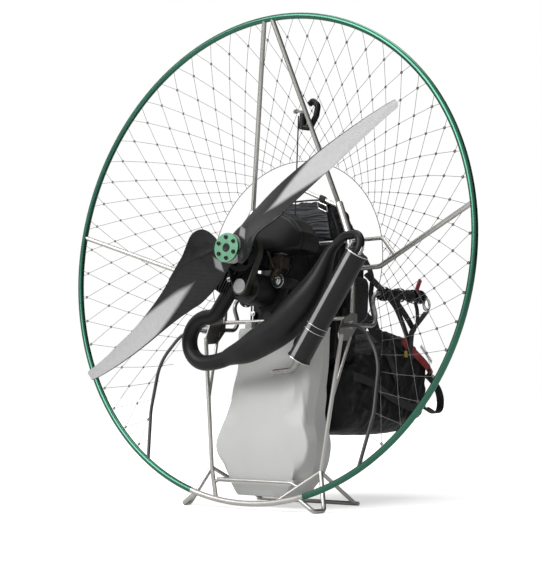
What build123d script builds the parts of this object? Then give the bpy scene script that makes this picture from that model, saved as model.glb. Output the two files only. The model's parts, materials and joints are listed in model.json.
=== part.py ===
from build123d import *
from math import atan2, cos, degrees, pi, radians, sin
import os

# Paramotor: a back-worn engine with a pusher propeller inside a hoop cage.
# Millimetres.  The machine is drawn upright with the hoop centre at the origin, +X to the right
# as seen from the propeller side, +Y towards the pilot and +Z up.  store() then leans every piece
# to the attitude in which the machine stands on its feet.

os.makedirs("parts", exist_ok=True)

# --- how it stands ---------------------------------------------------------------------------
LEAN = 4.39
HOOP_HEIGHT = 725.0
CENTRE_Y = 253.1
PARKED = Location((0, -CENTRE_Y, HOOP_HEIGHT), (-LEAN, 0, 0))
SIDES = (("left", -1), ("right", 1))

# --- cage ------------------------------------------------------------------------------------
HOOP_R = 710.0
HOOP_TUBE_R = 9.0
BASE_TUBE_R = 8.0
BASE_HALF_ANGLE = 16.5
SPAR_ANGLE = 8.0
SPAR_R = 7.0
PRONG_R = 5.5
NET_ROD_R = 5.0
NET_ROD_ANGLE = 32.0

# --- back frame and feet -----------------------------------------------------------------------
TUBE_R = 7.0
LEG_R = 6.0
BRACE_R = 4.5
SHOULDER = (162.0, 177.0, 162.0)
HIP = (235.0, 155.0, -175.0)
CROSS_Y = 157.0
UPPER_CROSS_Z = 53.0
LOWER_CROSS_Z = -172.0
PIVOT_Y, PIVOT_Z = 105.0, -198.0
PIN_R = 5.0
PLATE_X = 242.0
PLATE_T = 4.0
LEG_TOP = (248.0, 86.0, -226.0)
LEG_FOOT = (197.0, 84.0, -612.0)
FRONT_Y = 300.0
FRONT_TUBE_R = 5.5
STRUT_ANGLE = 8.6

# --- drive -------------------------------------------------------------------------------------
CRANK_Z = -100.0
PULLEY_REAR_Y = -76.0
PULLEY_WIDTH = 26.0
LARGE_PULLEY_R = 58.0
SMALL_PULLEY_R = 21.0
BELT_T = 4.0
BELT_GAP = 0.4
HUB_REAR_Y = -143.0
HUB_PLATE_T = 6.0
HUB_T = 32.0
HUB_FRONT_Y = HUB_REAR_Y + HUB_PLATE_T + HUB_T
HUB_R = 42.0
HUB_BOLT_PCD = 60.0
HUB_BOLT_R = 4.5
SHAFT_BORE_R = 10.0
BLADE_ANGLE = 34.0
PROPELLER_R = 638.0


def floor_z(y, radius=0.0):
    """Height of a tube centre whose wall touches the floor at the given y, before the lean."""
    return (y * sin(radians(LEAN)) + radius - HOOP_HEIGHT) / cos(radians(LEAN))


def on_hoop(angle):
    """Point on the hoop's centre line, the angle counted from +X towards +Z."""
    return (HOOP_R * cos(radians(angle)), 0.0, HOOP_R * sin(radians(angle)))


def mirrored(side, *points):
    """The same points on the left (-1) or right (+1) side."""
    return [(side * x, y, z) for x, y, z in points]


def sweep_tube(path, radius, wall=0.0):
    """Sweep a round tube, or a solid bar where wall is 0, along the path into the open part."""
    with BuildSketch(Plane(origin=path @ 0, z_dir=path % 0)) as section:
        Circle(radius)
        if wall:
            Circle(radius - wall, mode=Mode.SUBTRACT)
    sweep(section.sketch, path=path)


def straight_tube(start, end, radius, wall=0.0):
    """A straight tube between two points, added to the open part."""
    sweep_tube(Line(start, end, mode=Mode.PRIVATE), radius, wall)


def keep_largest(piece):
    """Drop the offcuts that coping leaves beyond a joint."""
    largest = piece.solids().sort_by(SortBy.VOLUME)[-1]
    add(largest, mode=Mode.REPLACE)


def store(piece, name):
    """Lean a finished piece to its parked attitude, label it and write its file."""
    piece.part = piece.part.moved(PARKED)
    piece.part.label = name
    export_step(piece.part, f"parts/{name}.step")


pieces = {}

# --- cage hoop: a bare base section and four coloured sections -------------------------------------
HOOP_SECTIONS = {
    "hoop_base": (270 - BASE_HALF_ANGLE, 2 * BASE_HALF_ANGLE, BASE_TUBE_R),
    "hoop_lower_right": (270 + BASE_HALF_ANGLE, 90 - BASE_HALF_ANGLE + SPAR_ANGLE, HOOP_TUBE_R),
    "hoop_upper_right": (SPAR_ANGLE, 90 - SPAR_ANGLE, HOOP_TUBE_R),
    "hoop_upper_left": (90, 90 - SPAR_ANGLE, HOOP_TUBE_R),
    "hoop_lower_left": (180 - SPAR_ANGLE, 90 - BASE_HALF_ANGLE + SPAR_ANGLE, HOOP_TUBE_R),
}
for name, (start, size, radius) in HOOP_SECTIONS.items():
    with BuildPart() as hoop_section:
        with BuildLine(Plane.XZ) as arc:
            CenterArc((0, 0), HOOP_R, start, size)
        sweep_tube(arc.line, radius)
    pieces[name] = hoop_section
hoop = [pieces[name].part for name in HOOP_SECTIONS]

# --- back frame: uprights, top brace, top spars and cross tubes ----------------------------------------
UPRIGHT_POINTS = (SHOULDER, (207, 166, 70), (233, 156, -70), HIP)
SOCKET_R = 11.0
SOCKET_POINTS = ((158.5, 177, 174), (207, 166, 70), (217, 162, 15))
UPRIGHT_BEND_R = 150.0
for side_name, side in SIDES:
    with BuildPart() as upright:
        with BuildLine() as line:
            FilletPolyline(*mirrored(side, *UPRIGHT_POINTS), radius=UPRIGHT_BEND_R)
        sweep_tube(line.line, TUBE_R)
        with BuildLine() as line:
            FilletPolyline(*mirrored(side, *SOCKET_POINTS), radius=UPRIGHT_BEND_R)
        sweep_tube(line.line, SOCKET_R)
    pieces[f"upright_{side_name}"] = upright
uprights = [pieces["upright_left"].part, pieces["upright_right"].part]

BRACE_APEX = (0.0, 177.0, 236.0)
BRACE_BEND_R = 22.0
TOP_SPAR_END = (15.0, 0.0, HOOP_R - 4)
UPPER_CROSS_X = 207.0
LOWER_CROSS_X = 230.0
with BuildPart() as top_brace:
    with BuildLine() as line:
        FilletPolyline(*mirrored(-1, SHOULDER), BRACE_APEX, SHOULDER, radius=BRACE_BEND_R)
    sweep_tube(line.line, PRONG_R)
    add(uprights, mode=Mode.SUBTRACT)
    keep_largest(top_brace)
pieces["top_brace"] = top_brace

for side_name, side in SIDES:
    with BuildPart() as top_spar:
        straight_tube(*mirrored(side, SHOULDER, TOP_SPAR_END), TUBE_R)
        add(hoop + uprights + [top_brace.part], mode=Mode.SUBTRACT)
        keep_largest(top_spar)
    pieces[f"top_spar_{side_name}"] = top_spar

with BuildPart() as cross_tubes:
    straight_tube(*[(x, CROSS_Y, UPPER_CROSS_Z) for x in (-UPPER_CROSS_X, UPPER_CROSS_X)], LEG_R)
    straight_tube(*[(x, CROSS_Y, LOWER_CROSS_Z) for x in (-LOWER_CROSS_X, LOWER_CROSS_X)], LEG_R)
    add(uprights, mode=Mode.SUBTRACT)
pieces["cross_tubes"] = cross_tubes

# --- side spars, each with an upper prong to the back frame -------------------------------------------
SPAR_BEND = (338.0, 132.0, -31.0)
SPAR_INNER = (231.0, 157.0, -30.0)
PRONG_BEND = (341.0, 137.0, 51.0)
PRONG_INNER = (214.0, 163.0, 55.0)
PRONG_JOIN = (402.0, 108.9, -8.2)
SPAR_BEND_R = 45.0
PRONG_BEND_R = 30.0
for side_name, side in SIDES:
    with BuildPart() as side_spar:
        with BuildLine() as line:
            FilletPolyline(*mirrored(side, on_hoop(SPAR_ANGLE), SPAR_BEND, SPAR_INNER),
                           radius=SPAR_BEND_R)
        sweep_tube(line.line, SPAR_R)
        with BuildLine() as line:
            FilletPolyline(*mirrored(side, PRONG_JOIN, PRONG_BEND, PRONG_INNER),
                           radius=PRONG_BEND_R)
        sweep_tube(line.line, PRONG_R)
        add(hoop + uprights, mode=Mode.SUBTRACT)
        keep_largest(side_spar)
    pieces[f"side_spar_{side_name}"] = side_spar

# --- hip plates: they carry the swing arms' pins and the tops of the legs -------------------------------
PLATE_OUTLINE = ((168, -158), (168, -198), (134, -238), (84, -246), (78, -222), (92, -186), (142, -158))
PLATE_CORNER_R = 7.0
PIN_END_X = 266.5
KNOB_R = 12.0
KNOB_T = 10.0
for side_name, side in SIDES:
    with BuildPart() as hip_plate:
        with BuildSketch(Plane.YZ.offset(side * PLATE_X)) as outline:
            with BuildLine():
                Polyline(*PLATE_OUTLINE, close=True)
            make_face()
            fillet(outline.vertices(), radius=PLATE_CORNER_R)
        extrude(amount=PLATE_T / 2, both=True)
        straight_tube(*mirrored(side, (PLATE_X, PIVOT_Y, PIVOT_Z), (PIN_END_X, PIVOT_Y, PIVOT_Z)), PIN_R)
        straight_tube(*mirrored(side, (PIN_END_X, PIVOT_Y, PIVOT_Z),
                                (PIN_END_X + KNOB_T, PIVOT_Y, PIVOT_Z)), KNOB_R)
        add(uprights, mode=Mode.SUBTRACT)
    pieces[f"hip_plate_{side_name}"] = hip_plate
hip_plates = [pieces["hip_plate_left"].part, pieces["hip_plate_right"].part]

# --- legs with their braces ------------------------------------------------------------------------------
BRACE_TOP = (244.0, 136.0, -228.0)
BRACE_FOOT = (224.0, 86.0, -408.0)
for side_name, side in SIDES:
    with BuildPart() as leg:
        straight_tube(*mirrored(side, LEG_TOP, LEG_FOOT), LEG_R)
        straight_tube(*mirrored(side, BRACE_TOP, BRACE_FOOT), BRACE_R)
        add(hip_plates, mode=Mode.SUBTRACT)
        keep_largest(leg)
    pieces[f"leg_{side_name}"] = leg
legs = [pieces["leg_left"].part, pieces["leg_right"].part]

# --- feet: a floor loop, a strut and a front tube at each side, tied by two cross bars ---------------------
FOOT_R = 6.5
FOOT_REAR_Y = 6.0
FOOT_FRONT_Y = 46.0
FOOT_X = 240.0
LOOP_END_ANGLE = 14.8
LOOP_BEND_R = 13.0
for side_name, side in SIDES:
    with BuildPart() as foot_loop:
        with BuildLine() as line:
            FilletPolyline(*mirrored(side, LEG_FOOT, (FOOT_X, FOOT_FRONT_Y, floor_z(FOOT_FRONT_Y, FOOT_R)),
                                     (FOOT_X - 8, FOOT_REAR_Y, floor_z(FOOT_REAR_Y, FOOT_R)),
                                     on_hoop(LOOP_END_ANGLE - 90)),
                           radius=LOOP_BEND_R)
        sweep_tube(line.line, FOOT_R)
        add(hoop + legs, mode=Mode.SUBTRACT)
        keep_largest(foot_loop)
    pieces[f"foot_loop_{side_name}"] = foot_loop
foot_loops = [pieces["foot_loop_left"].part, pieces["foot_loop_right"].part]

with BuildPart() as foot_struts:
    for side_name, side in SIDES:
        straight_tube(*mirrored(side, LEG_FOOT, on_hoop(STRUT_ANGLE - 90)), LEG_R)
    add(hoop + legs + foot_loops, mode=Mode.SUBTRACT)
    add(foot_struts.solids().sort_by(SortBy.VOLUME)[-2:], mode=Mode.REPLACE)
pieces["foot_struts"] = foot_struts

STRUT_MID = (151.0, 41.0, -656.0)
STRUT_TIE = (128.0, 37.0, -646.0)
TIE_BEND_R = 20.0
FRONT_CROSS_X = 185.0
FRONT_TUBE_X = 172.0
with BuildPart() as rear_crossbar:
    with BuildLine() as line:
        FilletPolyline(*mirrored(-1, STRUT_MID, STRUT_TIE), STRUT_TIE, STRUT_MID, radius=TIE_BEND_R)
    sweep_tube(line.line, BRACE_R)
    add(foot_struts.part, mode=Mode.SUBTRACT)
    keep_largest(rear_crossbar)
pieces["rear_crossbar"] = rear_crossbar

with BuildPart() as front_cross_tube:
    straight_tube(*[(x, FRONT_Y, floor_z(FRONT_Y, LEG_R)) for x in (-FRONT_CROSS_X, FRONT_CROSS_X)], LEG_R)
pieces["front_cross_tube"] = front_cross_tube

with BuildPart() as front_tubes:
    for side_name, side in SIDES:
        straight_tube(*mirrored(side, LEG_FOOT, (FRONT_TUBE_X, FRONT_Y, floor_z(FRONT_Y, LEG_R))),
                      FRONT_TUBE_R)
    add(legs + foot_loops + [foot_struts.part, front_cross_tube.part], mode=Mode.SUBTRACT)
    add(front_tubes.solids().sort_by(SortBy.VOLUME)[-2:], mode=Mode.REPLACE)
pieces["front_tubes"] = front_tubes

# --- net rods: sprung rods that hold the edge of the net away from the exhaust --------------------
ROD_START = (246.0, 88.0, -205.0)
ROD_POINTS = ((322, 74, -200), (398, 52, -300), (402, 28, -450))
ROD_BENDS = (90, 150, 150)
for side_name, side in SIDES:
    with BuildPart() as net_rod:
        with BuildLine() as line:
            FilletPolyline(*mirrored(side, ROD_START, *ROD_POINTS, on_hoop(NET_ROD_ANGLE - 90)),
                           radius=ROD_BENDS)
        sweep_tube(line.line, NET_ROD_R)
        add(hoop + legs + hip_plates, mode=Mode.SUBTRACT)
        keep_largest(net_rod)
    pieces[f"net_rod_{side_name}"] = net_rod

# --- fuel tank: a moulded shell, narrow at the top and full at the foot, with a scooped rear corner
TANK_FRONT_Y = 167.0
TANK_TOP_Z = -196.0
TANK_CORNER_R = 9.0
LUG_X = 126.0
LUG_WIDTH = 24.0
LUG_RISE = 22.0
LUG_T = 28.0
TANK_STATIONS = (
    # height, then (half width, y) of the crease, of the rear corner and of the flank
    (TANK_TOP_Z, (100, 122), (138, 122), (158, 134)),
    (-262, (118, 116), (140, 120), (156, 134)),
    (-325, (126, 100), (140, 112), (155, 130)),
    (-380, (100, 74), (138, 92), (152, 122)),
    (-440, (66, 62), (138, 74), (150, 112)),
    (-485, (50, 58), (146, 60), (160, 100)),
    (-525, (50, 56), (162, 58), (174, 92)),
    (-560, (50, 56), (164, 58), (174, 92)),
    (-610, (50, 58), (120, 60), (160, 100)),
    (-668, (50, 62), (98, 66), (118, 104)),
    (-688, (46, 72), (88, 76), (106, 112)),
)
TANK_BELLY_Y = 62.0
STRAP_LUG_T = 14.0
LUG_REACH = 16.0
CAP_X, CAP_Z = 100.0, -250.0
CAP_R = 26.0
CAP_T = 16.0
NECK_R = 22.0
NECK_END_Y = 108.0
NECK_LENGTH = 20.0
with BuildPart() as fuel_tank:
    for z, crease, corner, flank in TANK_STATIONS:
        with BuildSketch(Plane.XY.offset(z)) as outline:
            right_half = [(flank[0], TANK_FRONT_Y), flank, corner, crease]
            with BuildLine():
                Polyline(*right_half, *[(-x, y) for x, y in reversed(right_half)], close=True)
            make_face()
            fillet(outline.vertices(), radius=TANK_CORNER_R)
    loft()
    for x in (-LUG_X, LUG_X):
        with Locations((x, CROSS_Y - LEG_R - 2, TANK_TOP_Z)):
            Box(LUG_WIDTH, LUG_T, 2 * LUG_RISE)
        with Locations((x, (STRUT_TIE[1] + TANK_BELLY_Y + LUG_REACH) / 2, STRUT_TIE[2])):
            Box(LUG_WIDTH, TANK_BELLY_Y - STRUT_TIE[1] + LUG_REACH, STRAP_LUG_T)
    with BuildSketch(Plane.XZ.offset(-NECK_END_Y)):
        with Locations((CAP_X, CAP_Z)):
            Circle(NECK_R)
    extrude(amount=-NECK_LENGTH)
    add([cross_tubes.part, rear_crossbar.part], mode=Mode.SUBTRACT)
    keep_largest(fuel_tank)
pieces["fuel_tank"] = fuel_tank

with BuildPart() as fuel_cap:
    with BuildSketch(Plane.XZ.offset(-NECK_END_Y)):
        with Locations((CAP_X, CAP_Z)):
            Circle(CAP_R)
    extrude(amount=CAP_T)
    chamfer(fuel_cap.faces().sort_by(Axis.Y)[0].edges(), length=3)
pieces["fuel_cap"] = fuel_cap

# --- engine -----------------------------------------------------------------------------------------------
CASE_REAR_Y = -44.0
CASE_FRONT_Y = 62.0
CASE_R = 47.0
POCKET_R = 43.0
POCKET_DEPTH = 8.0
POCKET_SILL_Z = -124.0
DECK_WIDTH = 70.0
DECK_CORNER_R = 10.0
CYLINDER_ANGLE = 150.0
CYLINDER_Y = 5.0
CYLINDER_START = 36.0
BARREL_R = 32.0
FIN_START = 60.0
FIN_T = 3.0
FIN_PITCH = 9.5
FIN_COUNT = 7
FIN_HALF_WIDTH = 63.0
FIN_HALF_DEPTH = 47.0
FIN_CORNER_R = 16.0
HEAD_START = 128.0
HEAD_T = 12.0
HEAD_END = 160.0
MOUNTS = ((-60.0, -70.0), (67.0, -75.0), (29.0, -176.0))
OPEN_MOUNTS = MOUNTS[1:]
MOUNT_R = 15.0
EAR_REAR_Y = 46.0
EAR_T = 9.0
EAR_R = 19.0
WASHER_R = 21.0
WASHER_T = 3.0
MOUNT_REAR_Y = 24.0
MOUNT_FRONT_Y = 100.0
cylinder_dir = Vector(cos(radians(CYLINDER_ANGLE)), 0, sin(radians(CYLINDER_ANGLE)))
crank_centre = Vector(0, CYLINDER_Y, CRANK_Z)


def cylinder_plane(distance):
    """Plane across the cylinder at a distance from the crank axis, with its x along +Y."""
    return Plane(origin=crank_centre + cylinder_dir * distance, x_dir=(0, 1, 0), z_dir=cylinder_dir)


CARRIER_T = 12.0
CARRIER_TOP_R = 28.0
CARRIER_LOW_R = 34.0
BOSS_R = 20.0
BOSS_T = 4.0
with BuildPart() as crankcase:
    with BuildSketch(Plane.XZ.offset(-CASE_REAR_Y)):
        with Locations((0, CRANK_Z)):
            Circle(CASE_R)
    extrude(amount=-(CASE_FRONT_Y - CASE_REAR_Y))
    with BuildSketch(cylinder_plane(0)):
        RectangleRounded(DECK_WIDTH, DECK_WIDTH, DECK_CORNER_R)
    extrude(amount=CYLINDER_START)
    with BuildSketch(Plane.XZ.offset(-CASE_REAR_Y)):
        with Locations((0, CRANK_Z)):
            Circle(POCKET_R)
        with Locations((0, POCKET_SILL_Z - CASE_R)):
            Rectangle(2 * CASE_R, 2 * CASE_R, mode=Mode.SUBTRACT)
    extrude(amount=-POCKET_DEPTH, mode=Mode.SUBTRACT)
    with BuildSketch(Plane.XZ.offset(-EAR_REAR_Y)):
        with Locations(*MOUNTS):
            Circle(EAR_R)
        make_hull()
    extrude(amount=-EAR_T)
pieces["crankcase"] = crankcase

with BuildPart() as pulley_carrier:
    with BuildSketch(Plane.XZ.offset(-CASE_REAR_Y)):
        Circle(CARRIER_TOP_R)
        with Locations((0, CRANK_Z)):
            Circle(CARRIER_LOW_R)
        make_hull()
    extrude(amount=-CARRIER_T)
    with BuildSketch(Plane.XZ.offset(-CASE_REAR_Y)):
        Circle(BOSS_R)
    extrude(amount=BOSS_T)
    add(crankcase.part, mode=Mode.SUBTRACT)
    keep_largest(pulley_carrier)
pieces["pulley_carrier"] = pulley_carrier

with BuildPart() as cylinder:
    with BuildSketch(cylinder_plane(CYLINDER_START)):
        Circle(BARREL_R)
    extrude(amount=HEAD_START - CYLINDER_START)
    for index in range(FIN_COUNT):
        with BuildSketch(cylinder_plane(FIN_START + index * FIN_PITCH)):
            RectangleRounded(2 * FIN_HALF_DEPTH, 2 * FIN_HALF_WIDTH, FIN_CORNER_R)
        extrude(amount=FIN_T)
    add([crankcase.part, pulley_carrier.part], mode=Mode.SUBTRACT)
    keep_largest(cylinder)
pieces["cylinder"] = cylinder

HEAD_FIN_PITCH = 12.5
HEAD_FIN_SIDE_COUNT = 4
PLUG_R = 11.0
PLUG_LENGTH = 24.0
with BuildPart() as cylinder_head:
    with BuildSketch(cylinder_plane(HEAD_START)):
        RectangleRounded(2 * FIN_HALF_DEPTH, 2 * FIN_HALF_WIDTH, FIN_CORNER_R)
    extrude(amount=HEAD_T)
    for index in range(-HEAD_FIN_SIDE_COUNT, HEAD_FIN_SIDE_COUNT + 1):
        offset = index * HEAD_FIN_PITCH
        with BuildSketch(cylinder_plane(HEAD_START + HEAD_T)):
            with Locations((0, offset)):
                Rectangle(2 * FIN_HALF_DEPTH - abs(offset) / 2, FIN_T)
        extrude(amount=HEAD_END - HEAD_START - HEAD_T - abs(offset) / 5)
    with BuildSketch(cylinder_plane(HEAD_START + HEAD_T)):
        Circle(PLUG_R)
    extrude(amount=PLUG_LENGTH)
pieces["cylinder_head"] = cylinder_head

AIRBOX_REAR_Y = -6.0
AIRBOX_FRONT_Y = 82.0
AIRBOX_CORNER_R = 14.0
AIRBOX_EDGE_R = 13.0
AIRBOX_CHAMFER = 6.0
AIRBOX_OUTLINE = ((-62, 34), (-54, 88), (-8, 128), (74, 126), (124, 98), (158, 60), (166, 34), (158, 8),
                  (0, 4))
with BuildPart() as airbox:
    with BuildSketch(Plane.XZ.offset(-AIRBOX_REAR_Y)) as outline:
        with BuildLine():
            Polyline(*AIRBOX_OUTLINE, close=True)
        make_face()
        fillet(outline.vertices(), radius=AIRBOX_CORNER_R)
    extrude(amount=-(AIRBOX_FRONT_Y - AIRBOX_REAR_Y))
    fillet(airbox.faces().sort_by(Axis.Y)[0].edges(), radius=AIRBOX_EDGE_R)
    chamfer(airbox.faces().sort_by(Axis.Y)[-1].edges(), length=AIRBOX_CHAMFER)
pieces["airbox"] = airbox

CARB_X, CARB_Y, CARB_LOW_Z = 53.0, 36.0, -40.0
CARB_WIDTH, CARB_DEPTH, CARB_HEIGHT = 50.0, 40.0, 34.0
CARB_CORNER_R = 5.0
CARB_NECK_R = 15.0
CARB_NECK_HEIGHT = 14.0
INTAKE_START = (CARB_X, CARB_Y, CARB_LOW_Z + 8)
INTAKE_END = (20.0, CARB_Y, -95.0)
INTAKE_R = 14.0
with BuildPart() as carburettor:
    with BuildSketch(Plane.XY.offset(CARB_LOW_Z)):
        with Locations((CARB_X, CARB_Y)):
            RectangleRounded(CARB_WIDTH, CARB_DEPTH, CARB_CORNER_R)
    extrude(amount=CARB_HEIGHT)
    with BuildSketch(Plane.XY.offset(CARB_LOW_Z + CARB_HEIGHT)):
        with Locations((CARB_X, CARB_Y)):
            Circle(CARB_NECK_R)
    extrude(amount=CARB_NECK_HEIGHT)
    straight_tube(INTAKE_START, INTAKE_END, INTAKE_R)
    add([airbox.part, crankcase.part], mode=Mode.SUBTRACT)
    keep_largest(carburettor)
pieces["carburettor"] = carburettor

ROPE_SPOUT = (30.0, 84.0, -80.0)
ROPE_EXIT = (61.0, 97.0, -20.0)
ROPE_SPOUT_R = 6.0
RECOIL_R = 50.0
RECOIL_T = 38.0
RECOIL_CHAMFER = 8.0
with BuildPart() as recoil_starter:
    with BuildSketch(Plane.XZ.offset(-CASE_FRONT_Y)):
        with Locations((0, CRANK_Z)):
            Circle(RECOIL_R)
    extrude(amount=-RECOIL_T)
    chamfer(recoil_starter.faces().sort_by(Axis.Y)[-1].edges(), length=RECOIL_CHAMFER)
    straight_tube(ROPE_SPOUT, ROPE_EXIT, ROPE_SPOUT_R)
pieces["recoil_starter"] = recoil_starter

PLATE_REAR_Y = 145.0
POST_R = 12.0
PLATE_HALF = ((58, 64), (86, -60), (86, -110), (60, -178))
PLATE_FILLET_R = 12.0
UPPER_WINDOW_Z, UPPER_WINDOW_SIZE, UPPER_WINDOW_R = -10.0, (64.0, 90.0), 16.0
LOWER_WINDOW_Z, LOWER_WINDOW_R = -118.0, 34.0
with BuildPart() as engine_plate:
    with BuildSketch(Plane.XZ.offset(-PLATE_REAR_Y)) as outline:
        with BuildLine():
            Polyline(*PLATE_HALF, *[(-x, z) for x, z in reversed(PLATE_HALF)], close=True)
        make_face()
        fillet(outline.vertices(), radius=PLATE_FILLET_R)
        with Locations((0, UPPER_WINDOW_Z)):
            RectangleRounded(*UPPER_WINDOW_SIZE, UPPER_WINDOW_R, mode=Mode.SUBTRACT)
        with Locations((0, LOWER_WINDOW_Z)):
            Circle(LOWER_WINDOW_R, mode=Mode.SUBTRACT)
    extrude(amount=-(CROSS_Y - LEG_R - PLATE_REAR_Y))
    with BuildSketch(Plane.XZ.offset(-MOUNT_FRONT_Y)):
        with Locations(*MOUNTS):
            Circle(POST_R)
    extrude(amount=-(PLATE_REAR_Y - MOUNT_FRONT_Y))
pieces["engine_plate"] = engine_plate

with BuildPart() as rubber_mounts:
    with BuildSketch(Plane.XZ.offset(-EAR_REAR_Y - EAR_T)):
        with Locations(*MOUNTS):
            Circle(MOUNT_R)
    extrude(amount=-(MOUNT_FRONT_Y - EAR_REAR_Y - EAR_T))
    with BuildSketch(Plane.XZ.offset(-MOUNT_REAR_Y)):
        with Locations(*OPEN_MOUNTS):
            Circle(MOUNT_R)
    extrude(amount=-(EAR_REAR_Y - MOUNT_REAR_Y))
    with BuildSketch(Plane.XZ.offset(-EAR_REAR_Y + WASHER_T)):
        with Locations(*OPEN_MOUNTS):
            Circle(WASHER_R)
    extrude(amount=-WASHER_T)
pieces["rubber_mounts"] = rubber_mounts

# --- belt reduction ---------------------------------------------------------------------------------------
PULLEY_HUB_R = 24.0
PULLEY_HOLE_PCR = 36.0
PULLEY_HOLE_R = 11.0
with BuildPart() as large_pulley:
    with BuildSketch(Plane.XZ.offset(-PULLEY_REAR_Y)):
        Circle(LARGE_PULLEY_R)
        with PolarLocations(PULLEY_HOLE_PCR, 6):
            Circle(PULLEY_HOLE_R, mode=Mode.SUBTRACT)
    extrude(amount=-PULLEY_WIDTH)
    with BuildSketch(Plane.XZ.offset(-PULLEY_REAR_Y)):
        Circle(PULLEY_HUB_R)
    extrude(amount=PULLEY_REAR_Y - HUB_FRONT_Y)
    with BuildSketch(Plane.XZ.offset(-PULLEY_REAR_Y)):
        Circle(SHAFT_BORE_R)
    extrude(amount=-PULLEY_WIDTH, mode=Mode.SUBTRACT)
pieces["large_pulley"] = large_pulley

with BuildPart() as small_pulley:
    with BuildSketch(Plane.XZ.offset(-PULLEY_REAR_Y)):
        with Locations((0, CRANK_Z)):
            Circle(SMALL_PULLEY_R)
    extrude(amount=-PULLEY_WIDTH)
pieces["small_pulley"] = small_pulley

BELT_INNER_LARGE = LARGE_PULLEY_R + BELT_GAP
BELT_INNER_SMALL = SMALL_PULLEY_R + BELT_GAP
BELT_INSET = 2.0
with BuildPart() as drive_belt:
    with BuildSketch(Plane.XZ.offset(-PULLEY_REAR_Y - BELT_INSET)):
        Circle(BELT_INNER_LARGE + BELT_T)
        with Locations((0, CRANK_Z)):
            Circle(BELT_INNER_SMALL + BELT_T)
        make_hull()
        with BuildSketch(mode=Mode.SUBTRACT):
            Circle(BELT_INNER_LARGE)
            with Locations((0, CRANK_Z)):
                Circle(BELT_INNER_SMALL)
            make_hull()
    extrude(amount=-(PULLEY_WIDTH - 2 * BELT_INSET))
pieces["drive_belt"] = drive_belt

# --- propeller: two twisted blades on a round hub, clamped by the coloured plate ---------------------------
PITCH = 640.0
MAX_PITCH_ANGLE = 38.0
BLADE_STATIONS = (
    # radius, chord, share of the chord ahead of the blade axis, thickness
    (34, 40, 0.50, 22),
    (60, 60, 0.52, 20),
    (100, 92, 0.55, 16),
    (140, 114, 0.58, 14),
    (210, 113, 0.57, 11),
    (290, 88, 0.68, 9),
    (360, 77, 0.77, 7.5),
    (435, 64, 0.83, 6.5),
    (500, 53, 0.85, 5.5),
    (575, 43, 0.72, 4.5),
    (PROPELLER_R - 1, 29, 0.40, 3.5),
)
FIN_REAR_Y = -150.0
FIN_DEPTH = 7.0
ROOT_FIN_OUTER = ((24, -44), (23, -80), (43, -104), (91, -108), (125, -94), (208, -50))
ROOT_FIN_INNER = ((203, -40), (138, -30), (80, -20), (46, -14), (40, -25), (24, -44))
HUB_MID_Y = (HUB_REAR_Y + HUB_PLATE_T + HUB_FRONT_Y) / 2
CONE = 16.0


def blade_section(angle, radius, chord, ahead, thickness):
    """Lens-shaped section of a blade, square to the blade axis, set at the local pitch angle."""
    along = Vector(cos(radians(angle)), 0, sin(radians(angle)))
    around = Vector(-sin(radians(angle)), 0, cos(radians(angle)))
    pitch = min(atan2(PITCH, 2 * pi * radius), radians(MAX_PITCH_ANGLE))
    chord_dir = around * cos(pitch) + Vector(0, 1, 0) * sin(pitch)
    middle = along * radius + Vector(0, HUB_MID_Y + CONE * (radius / PROPELLER_R) ** 2, 0)
    plane = Plane(origin=middle, x_dir=chord_dir, z_dir=along)
    nose, tail = ahead * chord, (ahead - 1) * chord
    centre = (nose + tail) / 2
    with BuildSketch(plane) as section:
        with BuildLine():
            Spline((tail, 0.4), (centre, thickness * 0.62), (nose - chord * 0.12, thickness * 0.5),
                   (nose, 0), tangents=((1, 0.25), (0, -1)))
            Spline((nose, 0), (nose - chord * 0.14, -thickness * 0.36), (centre, -thickness * 0.3),
                   (tail, -0.4), tangents=((0, -1), (-1, 0)))
            Line((tail, -0.4), (tail, 0.4))
        make_face()
    return section.sketch


with BuildSketch(mode=Mode.PRIVATE) as root_fin:
    with BuildLine():
        Spline(*ROOT_FIN_OUTER)
        Polyline(ROOT_FIN_OUTER[-1], *ROOT_FIN_INNER)
    make_face()

with BuildPart() as propeller:
    for angle in (BLADE_ANGLE, BLADE_ANGLE + 180):
        sections = [blade_section(angle, *station) for station in BLADE_STATIONS]
        loft(sections)
        with BuildSketch(Plane.XZ.offset(-FIN_REAR_Y)):
            with Locations(Location((0, 0), angle)):
                add(root_fin.sketch)
        extrude(amount=-FIN_DEPTH)
    with BuildSketch(Plane.XZ.offset(-HUB_REAR_Y - HUB_PLATE_T)):
        Circle(HUB_R)
    extrude(amount=-HUB_T)
    with BuildSketch(Plane.XZ.offset(-HUB_REAR_Y - HUB_PLATE_T)):
        Circle(SHAFT_BORE_R)
        with PolarLocations(HUB_BOLT_PCD / 2, 6, start_angle=BLADE_ANGLE):
            Circle(HUB_BOLT_R)
    extrude(amount=-HUB_T, mode=Mode.SUBTRACT)
pieces["propeller"] = propeller

with BuildPart() as hub_plate:
    with BuildSketch(Plane.XZ.offset(-HUB_REAR_Y)):
        Circle(HUB_R)
        Circle(SHAFT_BORE_R, mode=Mode.SUBTRACT)
        with PolarLocations(HUB_BOLT_PCD / 2, 6, start_angle=BLADE_ANGLE):
            Circle(HUB_BOLT_R, mode=Mode.SUBTRACT)
    extrude(amount=-HUB_PLATE_T)
pieces["hub_plate"] = hub_plate

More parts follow.
